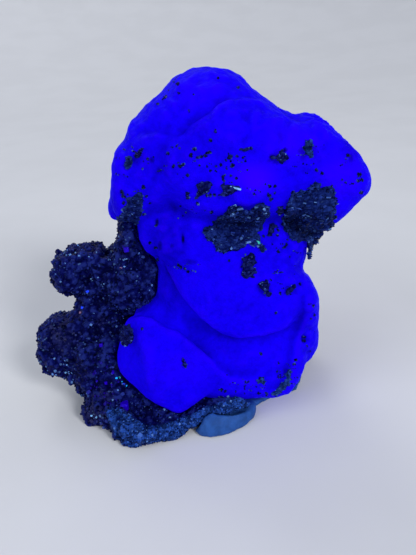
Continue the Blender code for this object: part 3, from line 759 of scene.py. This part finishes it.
class SPECIMEN_OT_matrix(bpy.types.Operator):
    """Roughen the pyrite matrix and cover it in grains and crystals"""

    bl_idname = "specimen.matrix"
    bl_label = "Pyrite matrix"

    def execute(self, context):
        draw = np.random.default_rng(21)
        piece = copy_of("pyrite_matrix", "matrix_crust")
        tree = tree_of(piece)
        knobs = [knob(tree, *spot) for spot in CRUST_KNOBS]
        remesh(piece, sizes().matrix_grid)
        apply(piece, "SMOOTH", iterations=3)
        depth = sizes().knob_depth
        dent(piece, DENTS)
        raise_pattern(piece, "CLOUDS", 4.2, 1.2 * depth)
        raise_pattern(piece, "VORONOI", 2.2, -0.9 * depth)
        join(piece, *(made for made in knobs if made))
        remesh(piece, sizes().matrix_grid)
        raise_pattern(piece, "VORONOI", 1.5, -0.55 * depth)
        raise_pattern(piece, "CLOUDS", 0.8, 0.35 * depth)
        keep_above_floor(piece)
        bpy.ops.object.shade_smooth()
        seen = Seen(piece)
        note(piece, "pale", seen.inside(PALE_CRUST, ragged=3.0))
        note(piece, "olive", sum(seen.oval(oval) for oval in OLIVE))
        # The crease note is for painted shade in the matrix's creases.
        note(piece, "crease", 2.2 * hollowness(piece, 3) + 1.2 * hollowness(piece, 16))
        finish(piece, pyrite_bed_material("pyrite_matrix"), "pyrite", "pyrite_matrix")
        pyrite_grain_material()
        self.grains(piece, draw)
        return {"FINISHED"}

    def grains(self, piece, draw):
        skin = tree_of(bpy.data.objects["fluorite_skin"])
        for name, kind, count, low, high, patchy in (
                ("matrix_grains", "grain", sizes().matrix_grains, 0.30, 0.80, 0.35),
                ("matrix_cubes", "cube", sizes().matrix_grains, 0.25, 0.62, 0.40),
                ("matrix_crystals", "corner_cut", sizes().matrix_crystals, 0.6, 1.15, 0.50)):
            spots, normals = spots_on(piece, draw, count)
            keep = (height_over(skin, spots) > 0.2) & (thick_at(spots, 5.0) > patchy * draw.random(count) * 1.6)
            keep &= spots[:, 2] > 0.6 * MM
            self.group(name, kind, spots[keep], normals[keep], low, high, draw)
        spots, normals = spots_on(piece, draw, 30 * sizes().crust_grains)
        pixels, _ = picture_of(spots)
        low, high = np.min(PALE_CRUST, axis=0), np.max(PALE_CRUST, axis=0)
        near = np.all((pixels > low) & (pixels < high), axis=1) & (spots[:, 1] < -0.004)
        spots, normals = spots[near], normals[near]
        pale = inside_outline(spots, PALE_CRUST)
        spots, normals = spots[pale][:sizes().crust_grains], normals[pale][:sizes().crust_grains]
        self.group("crust_grains", "grain", spots, normals, 0.26, 0.60, draw)

    @staticmethod
    def group(name, kind, spots, normals, low, high, draw):
        widths = (low + (high - low) * draw.random(len(spots)) ** 1.6) * MM
        pixels, _ = picture_of(spots)
        notes = {"pale": inside_outline(spots, PALE_CRUST).astype(float), "olive": oval_share(pixels, OLIVE),
                 "violet": oval_share(pixels, VIOLET_GRAINS)}
        turns = random_turns(draw, len(spots))
        # The sparkle ovals raise the tones there, for painted sparkle.
        tones = np.minimum(draw.random(len(spots)) + oval_share(pixels, PAINTED_SPARKLE) * draw.random(len(spots)), 1.0)
        made = crystals(name, kind, spots + normals * widths[:, None] * 0.1, widths, turns, tones, draw,
                        notes=notes)
        finish(made, bpy.data.materials["pyrite_grain"], "pyrite")


def oval_share(pixels, ovals):
    share = np.zeros(len(pixels))
    for across, down, half_width, half_height, strength in ovals:
        reach = np.hypot((pixels[:, 0] - across) / half_width, (pixels[:, 1] - down) / half_height)
        share = np.maximum(share, strength * np.clip(1.0 - reach * reach, 0.0, 1.0))
    return share


def inside_outline(spots, outline):
    """Which spots the photograph shows inside an outline, on the specimen's front half."""
    pixels, _ = picture_of(spots)
    crossings = np.zeros(len(spots), int)
    for (x0, y0), (x1, y1) in zip(outline, outline[1:] + outline[:1]):
        if y0 != y1:
            between = (pixels[:, 1] >= min(y0, y1)) & (pixels[:, 1] < max(y0, y1))
            crossings += between & (pixels[:, 0] < x0 + (pixels[:, 1] - y0) * (x1 - x0) / (y1 - y0))
    return (crossings % 2 == 1) & (spots[:, 1] < 0.0)


def knob(tree, across, down, radius):
    """A round knob half sunk in the skin where this pixel shows it, or None where it shows none."""
    spot, _ = spot_at(tree, across, down)
    if spot is None:
        return None
    bpy.ops.object.select_all(action="DESELECT")
    bpy.ops.mesh.primitive_ico_sphere_add(subdivisions=3, radius=radius * MM, location=spot)
    made = bpy.context.active_object
    bpy.ops.object.transform_apply(location=True, rotation=True, scale=True)
    return made


def pyrite_bed_material(name):
    """Dark, earthy pyrite between the grains, paler where the crust is, and darker in its creases as painted shade."""
    own = Material(name, 0.5, 0.0, Specular_IOR_Level=0.06, Specular_Tint=(0.1, 0.2, 1.0))
    cloud = own.noise(4.5, 3.0)
    fine = own.noise(0.6, 3.0)
    # The crease note darkens the tone in creases as painted shade, and lightens it on knobs as painted highlight.
    tone = own.range(own.range(cloud, 0.35, 0.65) * 0.45 + own.range(fine, 0.35, 0.65) * 0.35
                     - own.attribute("crease") * 0.9, 0.0, 0.9)
    dark = own.ramp(tone, (0.0, shade("pyrite_dark")), (0.5, shade("pyrite_middle")), (1.0, shade("pyrite_light", 0.8)))
    dark = own.mix(own.attribute("olive") * tone * 0.6, dark, shade("pyrite_olive", 0.5))
    pale = own.ramp(tone, (0.0, shade("crust_dark")), (0.45, shade("crust", 0.45)), (1.0, shade("crust", 1.3)))
    own.set("Base Color", own.mix(own.attribute("pale"), dark, pale))
    own.set("Roughness", own.range(fine, 0.3, 0.7, 0.34, 0.6))
    own.bump(own.noise(0.35, 3.0) * 0.6 + own.cells(0.6) * 0.4, 0.16)
    return own.made


def pyrite_grain_material():
    """Single grains and crystals: most dark, a few light, olive or violet, and very few with painted glints."""
    own = Material("pyrite_grain", 0.3, 0.0, Specular_IOR_Level=0.12, Specular_Tint=(0.2, 0.4, 1.0))
    tone = own.attribute("tone")
    # The top tones are painted glints: bright colour in place of faces catching the light.
    dark = own.ramp(tone, (0.0, shade("pyrite_dark", 0.5)), (0.5, shade("pyrite_middle", 0.8)),
                    (0.76, shade("pyrite_light", 0.6)), (0.91, shade("pyrite_light", 1.3)),
                    (0.97, shade("painted_glint", 0.35)), (1.0, shade("painted_glint", 0.9)))
    olive = own.attribute("olive") * (tone > 0.55)
    violet = own.attribute("violet") * (own.node("ShaderNodeMath", {"operation": "FRACT"}, (tone * 7.0,)) > 0.72)
    dark = own.mix(violet * 0.9, own.mix(olive * 0.8, dark, shade("pyrite_olive")), (0.012, 0.001, 0.26))
    # The pale crust's top tone is a painted glint too.
    pale = own.ramp(tone, (0.0, shade("crust_dark", 0.6)), (0.4, shade("crust", 0.35)), (0.75, shade("crust", 0.8)),
                    (0.93, shade("crust", 1.7)), (1.0, shade("painted_glint", 0.8)))
    own.set("Base Color", own.mix(own.attribute("pale"), dark, pale))
    own.set("Roughness", own.range(own.noise(0.9), 0.3, 0.7, 0.26, 0.48))
    own.bump(own.noise(0.3, 2.0), 0.04)
    return own.made


# The pyrite that shows on the fluorite, one ragged crust for each node, as outlines of pixels.
CRUSTS = {
    "pyrite_patch_centre": ((200, 232), (206, 227), (212, 225), (214, 220), (220, 216), (226, 212),
                            (229, 205), (234, 203), (240, 207), (247, 211), (253, 209), (257, 204),
                            (263, 203), (268, 206), (268, 215), (264, 220), (262, 228), (258, 234),
                            (262, 240), (266, 250), (262, 253), (256, 246), (250, 243), (243, 248),
                            (236, 251), (229, 251), (223, 255), (218, 251), (213, 247), (212, 241),
                            (205, 238)),
    "pyrite_patch_right": ((290, 200), (293, 194), (300, 190), (306, 193), (310, 189), (311, 184), (315, 178),
                           (320, 187), (333, 187), (337, 198), (337, 210), (333, 221), (332, 232),
                           (328, 246), (321, 258), (313, 265), (308, 260), (308, 248), (306, 240),
                           (298, 242), (291, 240), (287, 232), (282, 226), (281, 218), (286, 211),
                           (285, 205)),
    "pyrite_cluster_block_corner": ((121, 330), (124, 325), (130, 324), (134, 328), (134, 336), (132, 343),
                                    (127, 347), (121, 343), (119, 337)),
    "pyrite_cluster_brow_left": ((214, 179), (206, 183), (198, 182), (196, 188), (196, 198), (203, 195.5),
                                 (208, 190), (213, 184)),
    "pyrite_cluster_brow_middle": ((220, 183), (231, 184.5), (241, 187.5), (238, 191), (232, 194),
                                   (223, 198), (217, 195), (222, 191)),
    "pyrite_cluster_brow_upper": ((237, 149.5), (244, 147.5), (247, 144.5), (251.5, 145.5), (252, 150),
                                  (248, 151.5), (243, 150.5), (240, 152.5)),
    "pyrite_cluster_brow_right": ((269, 155), (276, 156), (279, 150), (285, 148), (287, 156), (284, 163),
                                  (278, 164), (273, 160)),
    "pyrite_cluster_right_lobe": ((303, 142), (309, 140), (314, 143), (315.5, 147), (312, 151), (313, 157),
                                  (309, 160), (305, 154), (300.5, 150)),
    "pyrite_cluster_left_lobe": ((125, 157), (130, 154.5), (133, 158), (132, 165), (128, 169), (125, 165)),
    "pyrite_cluster_left_lobe_inner": ((135, 155), (139, 150), (144, 148), (142, 154), (138, 159),
                                       (134, 159)),
    "pyrite_cluster_waist_upper": ((241.5, 258), (252, 252), (256, 258), (259, 262), (250, 266), (258.5, 272),
                                   (251, 278), (246, 281), (242, 275), (241, 267), (245, 264)),
    "pyrite_cluster_waist_lower": ((257.5, 281.5), (269, 280), (270, 285), (268, 288), (272, 295), (268, 297),
                                   (263, 292.5), (260, 288)),
    "pyrite_cluster_waist_right": ((285, 289), (291, 286), (295.5, 282.5), (296.5, 288), (291.5, 293.5),
                                   (285, 296)),
    "pyrite_cluster_block": ((180.5, 358), (184, 357), (185, 361), (187, 364), (184.5, 367), (182, 364)),
    "pyrite_cluster_foot": ((256.5, 379), (262, 377.5), (266, 380), (263, 383.5), (257.5, 383)),
    "pyrite_cluster_foot_right": ((289, 367), (293, 369), (291.5, 378), (288, 386), (281, 392), (276, 395),
                                  (271, 394), (278, 388), (284, 381)),
}

# How far the form of a node is sunk under its crust, in millimetres, where that isn't the usual half.
SUNK = {"pyrite_patch_centre": 0.6, "pyrite_patch_right": 0.6, "pyrite_cluster_right_lobe": 1.5,
        "pyrite_cluster_brow_right": 0.8, "pyrite_cluster_waist_upper": 0.7, "pyrite_cluster_waist_lower": 0.7,
        "pyrite_cluster_waist_right": 0.8, "pyrite_cluster_foot_right": 0.7,
        "pyrite_cluster_block_corner": 0.35}
# How much of the pale crust's colour each crust takes on.
PALE_SHARE = {"pyrite_cluster_foot_right": 0.8, "pyrite_cluster_foot": 0.8, "pyrite_cluster_right_lobe": 0.8,
              "pyrite_cluster_left_lobe": 0.4, "pyrite_patch_centre": 0.25, "pyrite_patch_right": 0.3,
              "left_lobe_foot": 0.2}
# Thin crusts that belong to no node of their own.
THIN_CRUSTS = {
    "left_lobe_foot": ((141, 189), (143.5, 199), (142.5, 212), (138, 224), (131, 229), (122, 225), (115, 221),
                       (121, 213), (126, 206), (128, 199), (134, 195)),
    "between_patches": ((268, 224), (274, 222), (277, 227), (273, 232), (270, 240), (266, 236), (268, 230)),
    "brow_edge": ((276, 205), (282, 206), (286, 211), (281, 215), (277, 211)),
}

# Single specks of pyrite on the fluorite: a pixel and a radius in pixels.
SPECKS = (
    (277, 235, 1.5), (278, 230, 1.2), (264, 236, 1.4), (147, 196, 1.6), (150, 203, 1.2), (144, 214, 1.6),
    (177.7, 83.8, 1.8), (178.5, 93, 1.2), (165.4, 97, 2.0), (163, 99, 1.2), (158.2, 104.3, 1.6),
    (217.7, 77.7, 1.2), (238, 87.4, 1.6), (167.7, 153.4, 2.0), (194.2, 149, 2.2), (190.8, 155.4, 1.6),
    (198, 157.5, 1.6), (201.5, 157, 1.6), (205, 156, 1.8), (210, 152, 1.8), (207.5, 153.5, 1.2),
    (211, 140.3, 1.5), (215.4, 131.2, 1.5), (173, 166.2, 1.8), (180, 166.5, 1.8), (183, 164.5, 2.0),
    (188, 175.7, 1.5), (187.7, 194.0, 2.6), (187.6, 197, 2.4), (143, 187, 2.2), (230, 157, 2.6),
    (237, 156.2, 1.4), (232.3, 165.4, 2.4), (220.8, 165, 1.4), (245.4, 160.8, 1.0), (211, 170.5, 1.2),
    (223, 177.5, 1.4), (223.4, 180, 1.4), (230.8, 175.4, 0.9), (236.2, 178.2, 0.9), (147.7, 158.5, 1.6),
    (122.5, 192, 2.2), (123.5, 197, 2.4), (123.5, 203, 1.2), (316.2, 170, 1.6), (322, 173.5, 1.1),
    (348.2, 155.4, 1.5), (359, 175, 2.8), (361.5, 180, 2.2), (358, 181, 1.4), (361, 192, 1.8),
    (207, 195.5, 1.4), (211, 195, 1.4), (214.5, 195, 1.2), (269.2, 186.2, 1.8), (275, 186.2, 1.2),
    (269, 196, 2.4), (271, 199, 1.8), (293, 192.3, 2.0), (331.5, 187, 1.8), (197.7, 203.5, 1.4),
    (211.5, 212.3, 2.0), (156, 225.4, 1.6), (278.5, 251.5, 1.8), (284, 247, 1.8), (286, 244.5, 1.4),
    (245.4, 253.8, 1.0), (229, 260.8, 1.3), (276.2, 312.6, 1.0), (313, 306, 1.2), (311, 318.5, 1.0),
    (150, 243, 1.4), (156, 247.7, 1.8), (157, 260, 2.2), (304, 337, 2.2), (304, 341, 2.2),
    (260.8, 353.8, 1.4), (142.3, 329.2, 1.3), (222, 390, 1.6), (225.5, 391, 1.2), (219.5, 389.5, 1.0),
    (178, 265.5, 1.5), (181, 267, 1.5), (184.5, 269, 1.5), (188, 271.5, 1.3), (280, 293.8, 1.4),
    (300, 284, 1.6), (266, 394, 2.0), (259, 393, 1.8), (296, 360, 1.6), (294.5, 364, 1.6),
)

# Fine dust of pyrite: ovals of pixels and the number of grains in each.
DUST = ((172, 160, 30, 18, 40), (128, 172, 16, 28, 34), (228, 168, 22, 16, 40), (262, 192, 14, 10, 20),
        (286, 262, 22, 26, 60), (310, 158, 16, 18, 24), (250, 386, 22, 8, 44), (284, 376, 16, 14, 50),
        (310, 326, 5, 26, 20), (196, 205, 20, 14, 26), (190, 266, 18, 6, 20), (346, 178, 12, 22, 16),
        (184, 96, 30, 20, 12))


class SPECIMEN_OT_crusts(bpy.types.Operator):
    """Grow the ragged pyrite crusts and clusters that sit on the fluorite"""

    bl_idname = "specimen.crusts"
    bl_label = "Pyrite on the fluorite"

    def execute(self, context):
        draw = np.random.default_rng(33)
        skin = bpy.data.objects["fluorite_skin"]
        tree = tree_of(skin)
        seen = Seen(skin)
        bed_material = pyrite_bed_material("pyrite_bed")
        for node, outline in CRUSTS.items():
            large = node.startswith("pyrite_patch")
            name = node.replace("pyrite_", "")
            piece = self.bed(name, node, outline, skin, seen, large)
            self.notes(piece, node)
            finish(piece, bed_material, "pyrite", node)
            self.crystals(piece, node, tree, draw, large)
        for name, outline in THIN_CRUSTS.items():
            piece = self.grown(name, cut_from(skin, seen, outline, 1.6), 0.9)
            self.notes(piece, name)
            finish(piece, bed_material, "pyrite")
            self.crystals(piece, name, tree, draw, False)
        return {"FINISHED"}

    def bed(self, name, node, outline, skin, seen, large):
        """A thin crust over the outline's part of the fluorite, grown together with the node's own form."""
        core = copy_of(node, name + "_bed")
        remesh(core, sizes().crust_grid)
        apply(core, "DISPLACE", strength=-SUNK.get(node, 0.5) * MM, mid_level=0.0)
        sheet = cut_from(skin, seen, outline, 2.4 if large else 1.0 + 2.0 * SUNK.get(node, 0.5))
        return self.grown(core.name, sheet, 1.3 if large else 1.0, core)

    @staticmethod
    def notes(piece, node):
        # The crease note is for painted shade in the crust's creases.
        note(piece, "crease", 3.0 * hollowness(piece, 4))
        note(piece, "pale", np.full(len(piece.data.vertices), PALE_SHARE.get(node, 0.0)))

    @staticmethod
    def grown(name, sheet, thickness, *cores):
        """Thickens the sheet, grows it together with its core if it has one, and makes it knobby."""
        apply(sheet, "SOLIDIFY", thickness=thickness * MM, offset=-0.2)
        join(sheet, *cores)
        sheet.name = name
        remesh(sheet, sizes().crust_grid)
        raise_pattern(sheet, "VORONOI", 1.5, -0.8 * MM)
        raise_pattern(sheet, "CLOUDS", 0.7, 0.5 * MM)
        bpy.ops.object.shade_smooth()
        return sheet

    def crystals(self, piece, node, tree, draw, large):
        area = sum(face.area for face in piece.data.polygons) / MM / MM
        for kind, share, low, high in (("blade", 0.9, 0.30, 0.85), ("cube", 0.6, 0.25, 0.70)):
            spots, _ = spots_on(piece, draw, int(area * share))
            spots = spots[height_over(tree, spots) > 0.0]
            count = len(spots)
            widths = (low + (high - low) * draw.random(count) ** 1.5) * (1.0 if large else 0.8) * MM
            turns = level_turns(draw, count, 0.35) if kind == "blade" else random_turns(draw, count)
            made = crystals(node.replace("pyrite_", "") + "_" + kind + "s", kind, spots, widths, turns,
                            draw.random(count) ** 0.8, draw,
                            notes={"pale": np.full(count, PALE_SHARE.get(node, 0.0))})
            finish(made, bpy.data.materials["pyrite_grain"], "pyrite")


def cut_from(skin, seen, outline, ragged):
    """The part of a skin that the photograph shows inside an outline, cut out with finer faces."""
    mesh = skin.data
    mesh.calc_loop_triangles()
    corners = np.empty(len(mesh.loop_triangles) * 3, np.int32)
    mesh.loop_triangles.foreach_get("vertices", corners)
    corners = corners.reshape(-1, 3)
    low, high = np.min(outline, axis=0) - 6, np.max(outline, axis=0) + 6
    near = np.all((seen.pixels > low) & (seen.pixels < high), axis=1) & (seen.front > 0.0)
    kept = corners[near[corners].all(axis=1)]
    used, index = np.unique(kept, return_inverse=True)
    made = bpy.data.meshes.new("sheet")
    made.from_pydata(seen.points[used].tolist(), [], index.reshape(-1, 3).tolist())
    sheet = new_piece("sheet", made)
    only(sheet)
    bpy.ops.object.mode_set(mode="EDIT")
    bpy.ops.mesh.select_all(action="SELECT")
    bpy.ops.mesh.subdivide(number_cuts=1)
    bpy.ops.object.mode_set(mode="OBJECT")
    inside = Seen(sheet).inside(outline, ragged)
    bm = bmesh.new()
    bm.from_mesh(sheet.data)
    bm.verts.ensure_lookup_table()
    bmesh.ops.delete(bm, geom=[vert for vert, stays in zip(bm.verts, inside) if not stays], context="VERTS")
    bmesh.ops.delete(bm, geom=[vert for vert in bm.verts if not vert.link_faces], context="VERTS")
    bm.to_mesh(sheet.data)
    bm.free()
    return sheet


class SPECIMEN_OT_specks(bpy.types.Operator):
    """Pepper the fluorite with specks and dust of pyrite"""

    bl_idname = "specimen.specks"
    bl_label = "Pyrite specks"

    def execute(self, context):
        draw = np.random.default_rng(59)
        tree = tree_of(bpy.data.objects["fluorite_skin"])
        spots, widths = [], []
        for across, down, radius in SPECKS:
            for _ in range(3 + int(1.8 * radius * radius)):
                turn, reach = draw.uniform(0, 2 * math.pi), radius * math.sqrt(draw.random()) * 0.8
                spot, _ = spot_at(tree, across + reach * math.cos(turn), down + reach * math.sin(turn))
                if spot is not None:
                    spots.append(spot[:])
                    widths.append(draw.uniform(0.24, 0.50))
        for across, down, half_width, half_height, count in DUST:
            for _ in range(count // 3):
                turn, reach = draw.uniform(0, 2 * math.pi), math.sqrt(draw.random())
                middle = (across + half_width * reach * math.cos(turn), down + half_height * reach * math.sin(turn))
                lean, long = draw.uniform(-0.6, 0.6), draw.exponential(1.6)
                for _ in range(draw.integers(2, 8)):
                    along, beside = draw.normal(0.0, long), draw.normal(0.0, 0.5)
                    spot, _ = spot_at(tree, middle[0] + along, middle[1] + lean * along + beside)
                    if spot is not None:
                        spots.append(spot[:])
                        widths.append(draw.uniform(0.14, 0.34))
        around, _ = spots_on(bpy.data.objects["fluorite_skin"], draw, sizes().far_clumps)
        for middle in around[around[:, 1] > 2 * MM]:
            spread = draw.uniform(0.3, 0.9) * MM
            for _ in range(draw.integers(3, 16)):
                spots.append(tree.find_nearest(Vector(middle + draw.normal(0.0, spread, 3)))[0][:])
                widths.append(draw.uniform(0.20, 0.55))
        made = crystals("specks", "cube", np.array(spots), np.array(widths) * MM,
                        random_turns(draw, len(spots)), draw.random(len(spots)) * 0.97, draw)
        finish(made, bpy.data.materials["pyrite_grain"], "pyrite")
        return {"FINISHED"}


# Single crystals that stand out by their colour and glow with a painted glow; all but the long needle under the brow
# are painted glints: material, a pixel, a length, a width and a turn in degrees.
GLOWING_CRYSTALS = (
    ("needle", "cluster_brow_middle_bed", (235.5, 188.2), 2.6, 0.40, -14),
    ("cyan", "matrix_crust", (116.5, 378), 0.6, 0.45, 10),
    ("green", "matrix_crust", (119.6, 377.5), 0.5, 0.40, -20),
    ("cyan", "matrix_crust", (121.8, 381.4), 0.5, 0.30, -45),
    ("blue", "matrix_crust", (124.0, 383.8), 0.5, 0.32, -40),
    ("cyan", "matrix_crust", (127.0, 386.2), 0.6, 0.40, -50),
    ("green", "patch_centre_bed", (258.5, 242), 1.1, 0.50, -60),
    ("needle", "matrix_crust", (92, 415.5), 0.8, 0.45, 10),
    ("needle", "matrix_crust", (96.5, 417), 0.7, 0.40, 50),
    ("needle", "matrix_crust", (64.5, 372), 1.1, 0.40, -30),
    ("needle", "matrix_crust", (91.5, 279), 0.6, 0.50, 0),
    ("blue", "matrix_crust", (82.5, 307.5), 0.8, 0.70, 0),
    ("blue", "matrix_crust", (87.5, 291.5), 0.8, 0.60, 20),
    ("blue", "matrix_crust", (109.5, 284), 0.9, 0.60, 60),
    ("orange", "matrix_crust", (80.5, 312.5), 0.7, 0.55, 0),
    ("orange", "matrix_crust", (121, 268), 0.6, 0.45, 0),
)
GLOWING_TINTS = {"needle": (0.14, 0.32, 0.62), "cyan": (0.01, 0.32, 0.85), "green": (0.04, 0.40, 0.36),
                "blue": (0.010, 0.045, 0.85), "orange": (0.14, 0.08, 0.16)}
# Violet crystals of fluorite in the matrix: a pixel, a width and a height in millimetres.
VIOLET_CRYSTALS = (((124.6, 405), 2.1, 3.3), ((126.5, 249), 1.4, 1.9),
                   ((106, 383), 0.8, 0.9), ((101, 345), 1.0, 1.0), ((113, 372), 0.7, 1.0),
                   ((97, 381), 0.6, 0.8))


class SPECIMEN_OT_bright(bpy.types.Operator):
    """Set the few bright and violet crystals, which glow with a painted glow; most bright ones are painted glints"""

    bl_idname = "specimen.bright"
    bl_label = "Bright crystals"

    def execute(self, context):
        trees = {name: tree_of(bpy.data.objects[name]) for name in {entry[1] for entry in GLOWING_CRYSTALS}}
        for tint_name, tint in GLOWING_TINTS.items():
            made = []
            for kind, on, pixel, long, width, turn in GLOWING_CRYSTALS:
                spot, _ = spot_at(trees[on], *pixel)
                if kind == tint_name and spot is not None:
                    made.append(self.crystal(spot, (long, width, width * 0.8), turn))
            if made:
                piece = join(made[0], *made[1:])
                piece.name = tint_name + "_crystals"
                finish(piece, glowing_crystal_material(tint_name, tint, 0.6), "pyrite")
        made = []
        for pixel, width, height in VIOLET_CRYSTALS:
            spot, _ = spot_at(trees["matrix_crust"], *pixel)
            if spot is not None:
                made.append(self.crystal(spot, (width, width, height), 8))
        piece = join(made[0], *made[1:])
        piece.name = "violet_crystals"
        # The violet crystals of fluorite glow faintly with a painted glow.
        finish(piece, glowing_crystal_material("violet", (0.012, 0.0, 0.42), 0.1), "fluorite")
        return {"FINISHED"}

    @staticmethod
    def crystal(spot, size, turn):
        """A small crystal that lies along the view's plane, with its edges cut."""
        bpy.ops.object.select_all(action="DESELECT")
        bpy.ops.mesh.primitive_cube_add(size=MM, location=(0, 0, 0))
        made = bpy.context.active_object
        bpy.ops.object.mode_set(mode="EDIT")
        bpy.ops.mesh.select_all(action="SELECT")
        bpy.ops.transform.resize(value=size)
        bpy.ops.mesh.bevel(offset=0.22 * min(size) * MM, offset_type="OFFSET", segments=2, affect="EDGES")
        bpy.ops.object.mode_set(mode="OBJECT")
        turned = EYE_TURN.to_4x4() @ Matrix.Rotation(math.radians(turn), 4, "Z") @ Matrix.Rotation(0.4, 4, "X")
        made.data.transform(Matrix.Translation(spot) @ turned)
        return made


# Crystals with a painted glow: their emission makes them glow by themselves, though they are no lamps.
def glowing_crystal_material(name, tint, painted_glow):
    own = Material(name + "_crystal", 0.25, 0.0, Specular_IOR_Level=0.1, Emission_Strength=painted_glow)
    cloud = own.range(own.noise(0.8, 3.0), 0.35, 0.65)
    own.set("Base Color", own.mix(cloud, tuple(0.6 * part for part in tint), tint))
    own.set("Emission Color", own.mix(cloud, tuple(0.4 * part for part in tint), tint))
    own.bump(own.noise(0.4, 2.0), 0.04)
    return own.made


class SPECIMEN_OT_putty(bpy.types.Operator):
    """Press the mounting putty"""

    bl_idname = "specimen.putty"
    bl_label = "Mounting putty"

    def execute(self, context):
        piece = copy_of("mounting_putty", "putty_pad")
        remesh(piece, 0.4 * MM)
        apply(piece, "SMOOTH", iterations=16)
        dent(piece, PUTTY_DENTS)
        raise_pattern(piece, "CLOUDS", 6.0, 0.9 * MM)
        raise_pattern(piece, "CLOUDS", 1.6, 0.16 * MM)
        keep_above_floor(piece)
        bpy.ops.object.shade_smooth()
        own = Material("putty", 0.6, Specular_IOR_Level=0.08)
        dusty = own.range(own.noise(1.8, 4.0), 0.35, 0.65)
        own.set("Base Color", own.mix(dusty, shade("putty", 0.72), shade("putty")))
        own.set("Roughness", own.range(own.noise(0.7), 0.3, 0.7, 0.5, 0.72))
        own.bump(own.noise(0.6, 4.0), 0.14)
        finish(piece, own.made, "putty", "mounting_putty")
        return {"FINISHED"}


def area_light(name, spot, width, power, tint):
    """A round soft light that faces the specimen's middle."""
    data = bpy.data.lights.new(name, "AREA")
    data.shape = "DISK"
    data.size = width
    data.energy = power
    data.color = tint
    light = bpy.data.objects.new(name, data)
    bpy.context.scene.collection.objects.link(light)
    light.location = spot
    light.rotation_mode = "QUATERNION"
    light.rotation_quaternion = (Vector((0.0, 0.0, 0.045)) - Vector(spot)).to_track_quat("-Z", "Y")


class SPECIMEN_OT_stage(bpy.types.Operator):
    """Set the floor, the lights and the camera"""

    bl_idname = "specimen.stage"
    bl_label = "Stage"

    def execute(self, context):
        self.floor()
        self.lights()
        self.camera()
        context.scene.view_settings.view_transform = "Standard"
        return {"FINISHED"}

    def floor(self):
        """A wide round floor that rises gently far behind the specimen."""
        bpy.ops.object.select_all(action="DESELECT")
        bpy.ops.mesh.primitive_circle_add(vertices=128, radius=0.4, fill_type="NGON", location=(0, 0, 0))
        floor = bpy.context.active_object
        floor.name = "floor"
        bpy.ops.object.mode_set(mode="EDIT")
        bpy.ops.mesh.select_all(action="SELECT")
        bpy.ops.mesh.region_to_loop()
        reach, rise, steps = 0.4, 0.0, 16
        for step in range(1, steps + 1):
            wider = 0.4 + 1.8 * step / steps
            higher = 1.1 * (step / steps) ** 2.6
            bpy.ops.mesh.extrude_region_move(TRANSFORM_OT_translate={"value": (0, 0, higher - rise)})
            bpy.ops.transform.resize(value=(wider / reach, wider / reach, 1.0))
            reach, rise = wider, higher
        bpy.ops.object.mode_set(mode="OBJECT")
        bpy.ops.object.shade_smooth()
        own = Material("floor", 0.85)
        own.set("Base Color", own.mix(own.range(own.noise(60.0), 0.4, 0.6), shade("floor", 0.97), shade("floor")))
        floor.data.materials.append(own.made)

    def lights(self):
        area_light("key", (0.72, -1.05, 0.80), 0.42, 16.0, (1.0, 1.0, 1.0))
        area_light("fill", (-1.10, -0.80, 0.90), 1.20, 9.0, (0.90, 0.95, 1.0))
        area_light("back", (-0.50, 1.10, 1.20), 0.80, 6.0, (1.0, 1.0, 1.0))
        world = bpy.data.worlds.new("studio")
        world.use_nodes = True
        background = world.node_tree.nodes["Background"]
        background.inputs["Color"].default_value = (0.86, 0.90, 1.0, 1.0)
        background.inputs["Strength"].default_value = 0.55
        bpy.context.scene.world = world

    def camera(self):
        data = bpy.data.cameras.new("camera")
        data.sensor_width = SENSOR
        data.lens = CAMERA_FOCAL / max(PICTURE) * SENSOR
        data.clip_start = 0.01
        camera = bpy.data.objects.new("camera", data)
        bpy.context.scene.collection.objects.link(camera)
        camera.matrix_world = Matrix.Translation(EYE) @ EYE_TURN.to_4x4()
        bpy.context.scene.camera = camera


class SPECIMEN_PT_panel(bpy.types.Panel):
    """The specimen's pieces, sizes and colours"""

    bl_idname = "SPECIMEN_PT_panel"
    bl_label = "Fluorite with pyrite"
    bl_space_type = "VIEW_3D"
    bl_region_type = "UI"
    bl_category = "Specimen"

    def draw(self, context):
        column = self.layout.column()
        for operator in OPERATORS:
            column.operator(operator.bl_idname)
        for group in (context.scene.specimen_sizes, context.scene.specimen_colours):
            for name in group.__annotations__:
                column.prop(group, name)


OPERATORS = (SPECIMEN_OT_fluorite, SPECIMEN_OT_matrix, SPECIMEN_OT_crusts, SPECIMEN_OT_specks,
             SPECIMEN_OT_bright, SPECIMEN_OT_putty, SPECIMEN_OT_stage)
CLASSES = (SpecimenSizes, SpecimenColours, *OPERATORS, SPECIMEN_PT_panel)


def register():
    for made in CLASSES:
        bpy.utils.register_class(made)
    bpy.types.Scene.specimen_sizes = PointerProperty(type=SpecimenSizes)
    bpy.types.Scene.specimen_colours = PointerProperty(type=SpecimenColours)


def unregister():
    del bpy.types.Scene.specimen_colours
    del bpy.types.Scene.specimen_sizes
    for made in reversed(CLASSES):
        bpy.utils.unregister_class(made)


def main():
    register()
    bpy.ops.specimen.fluorite()
    bpy.ops.specimen.matrix()
    bpy.ops.specimen.crusts()
    bpy.ops.specimen.specks()
    bpy.ops.specimen.bright()
    bpy.ops.specimen.putty()
    bpy.ops.specimen.stage()


if __name__ == "__main__":
    main()
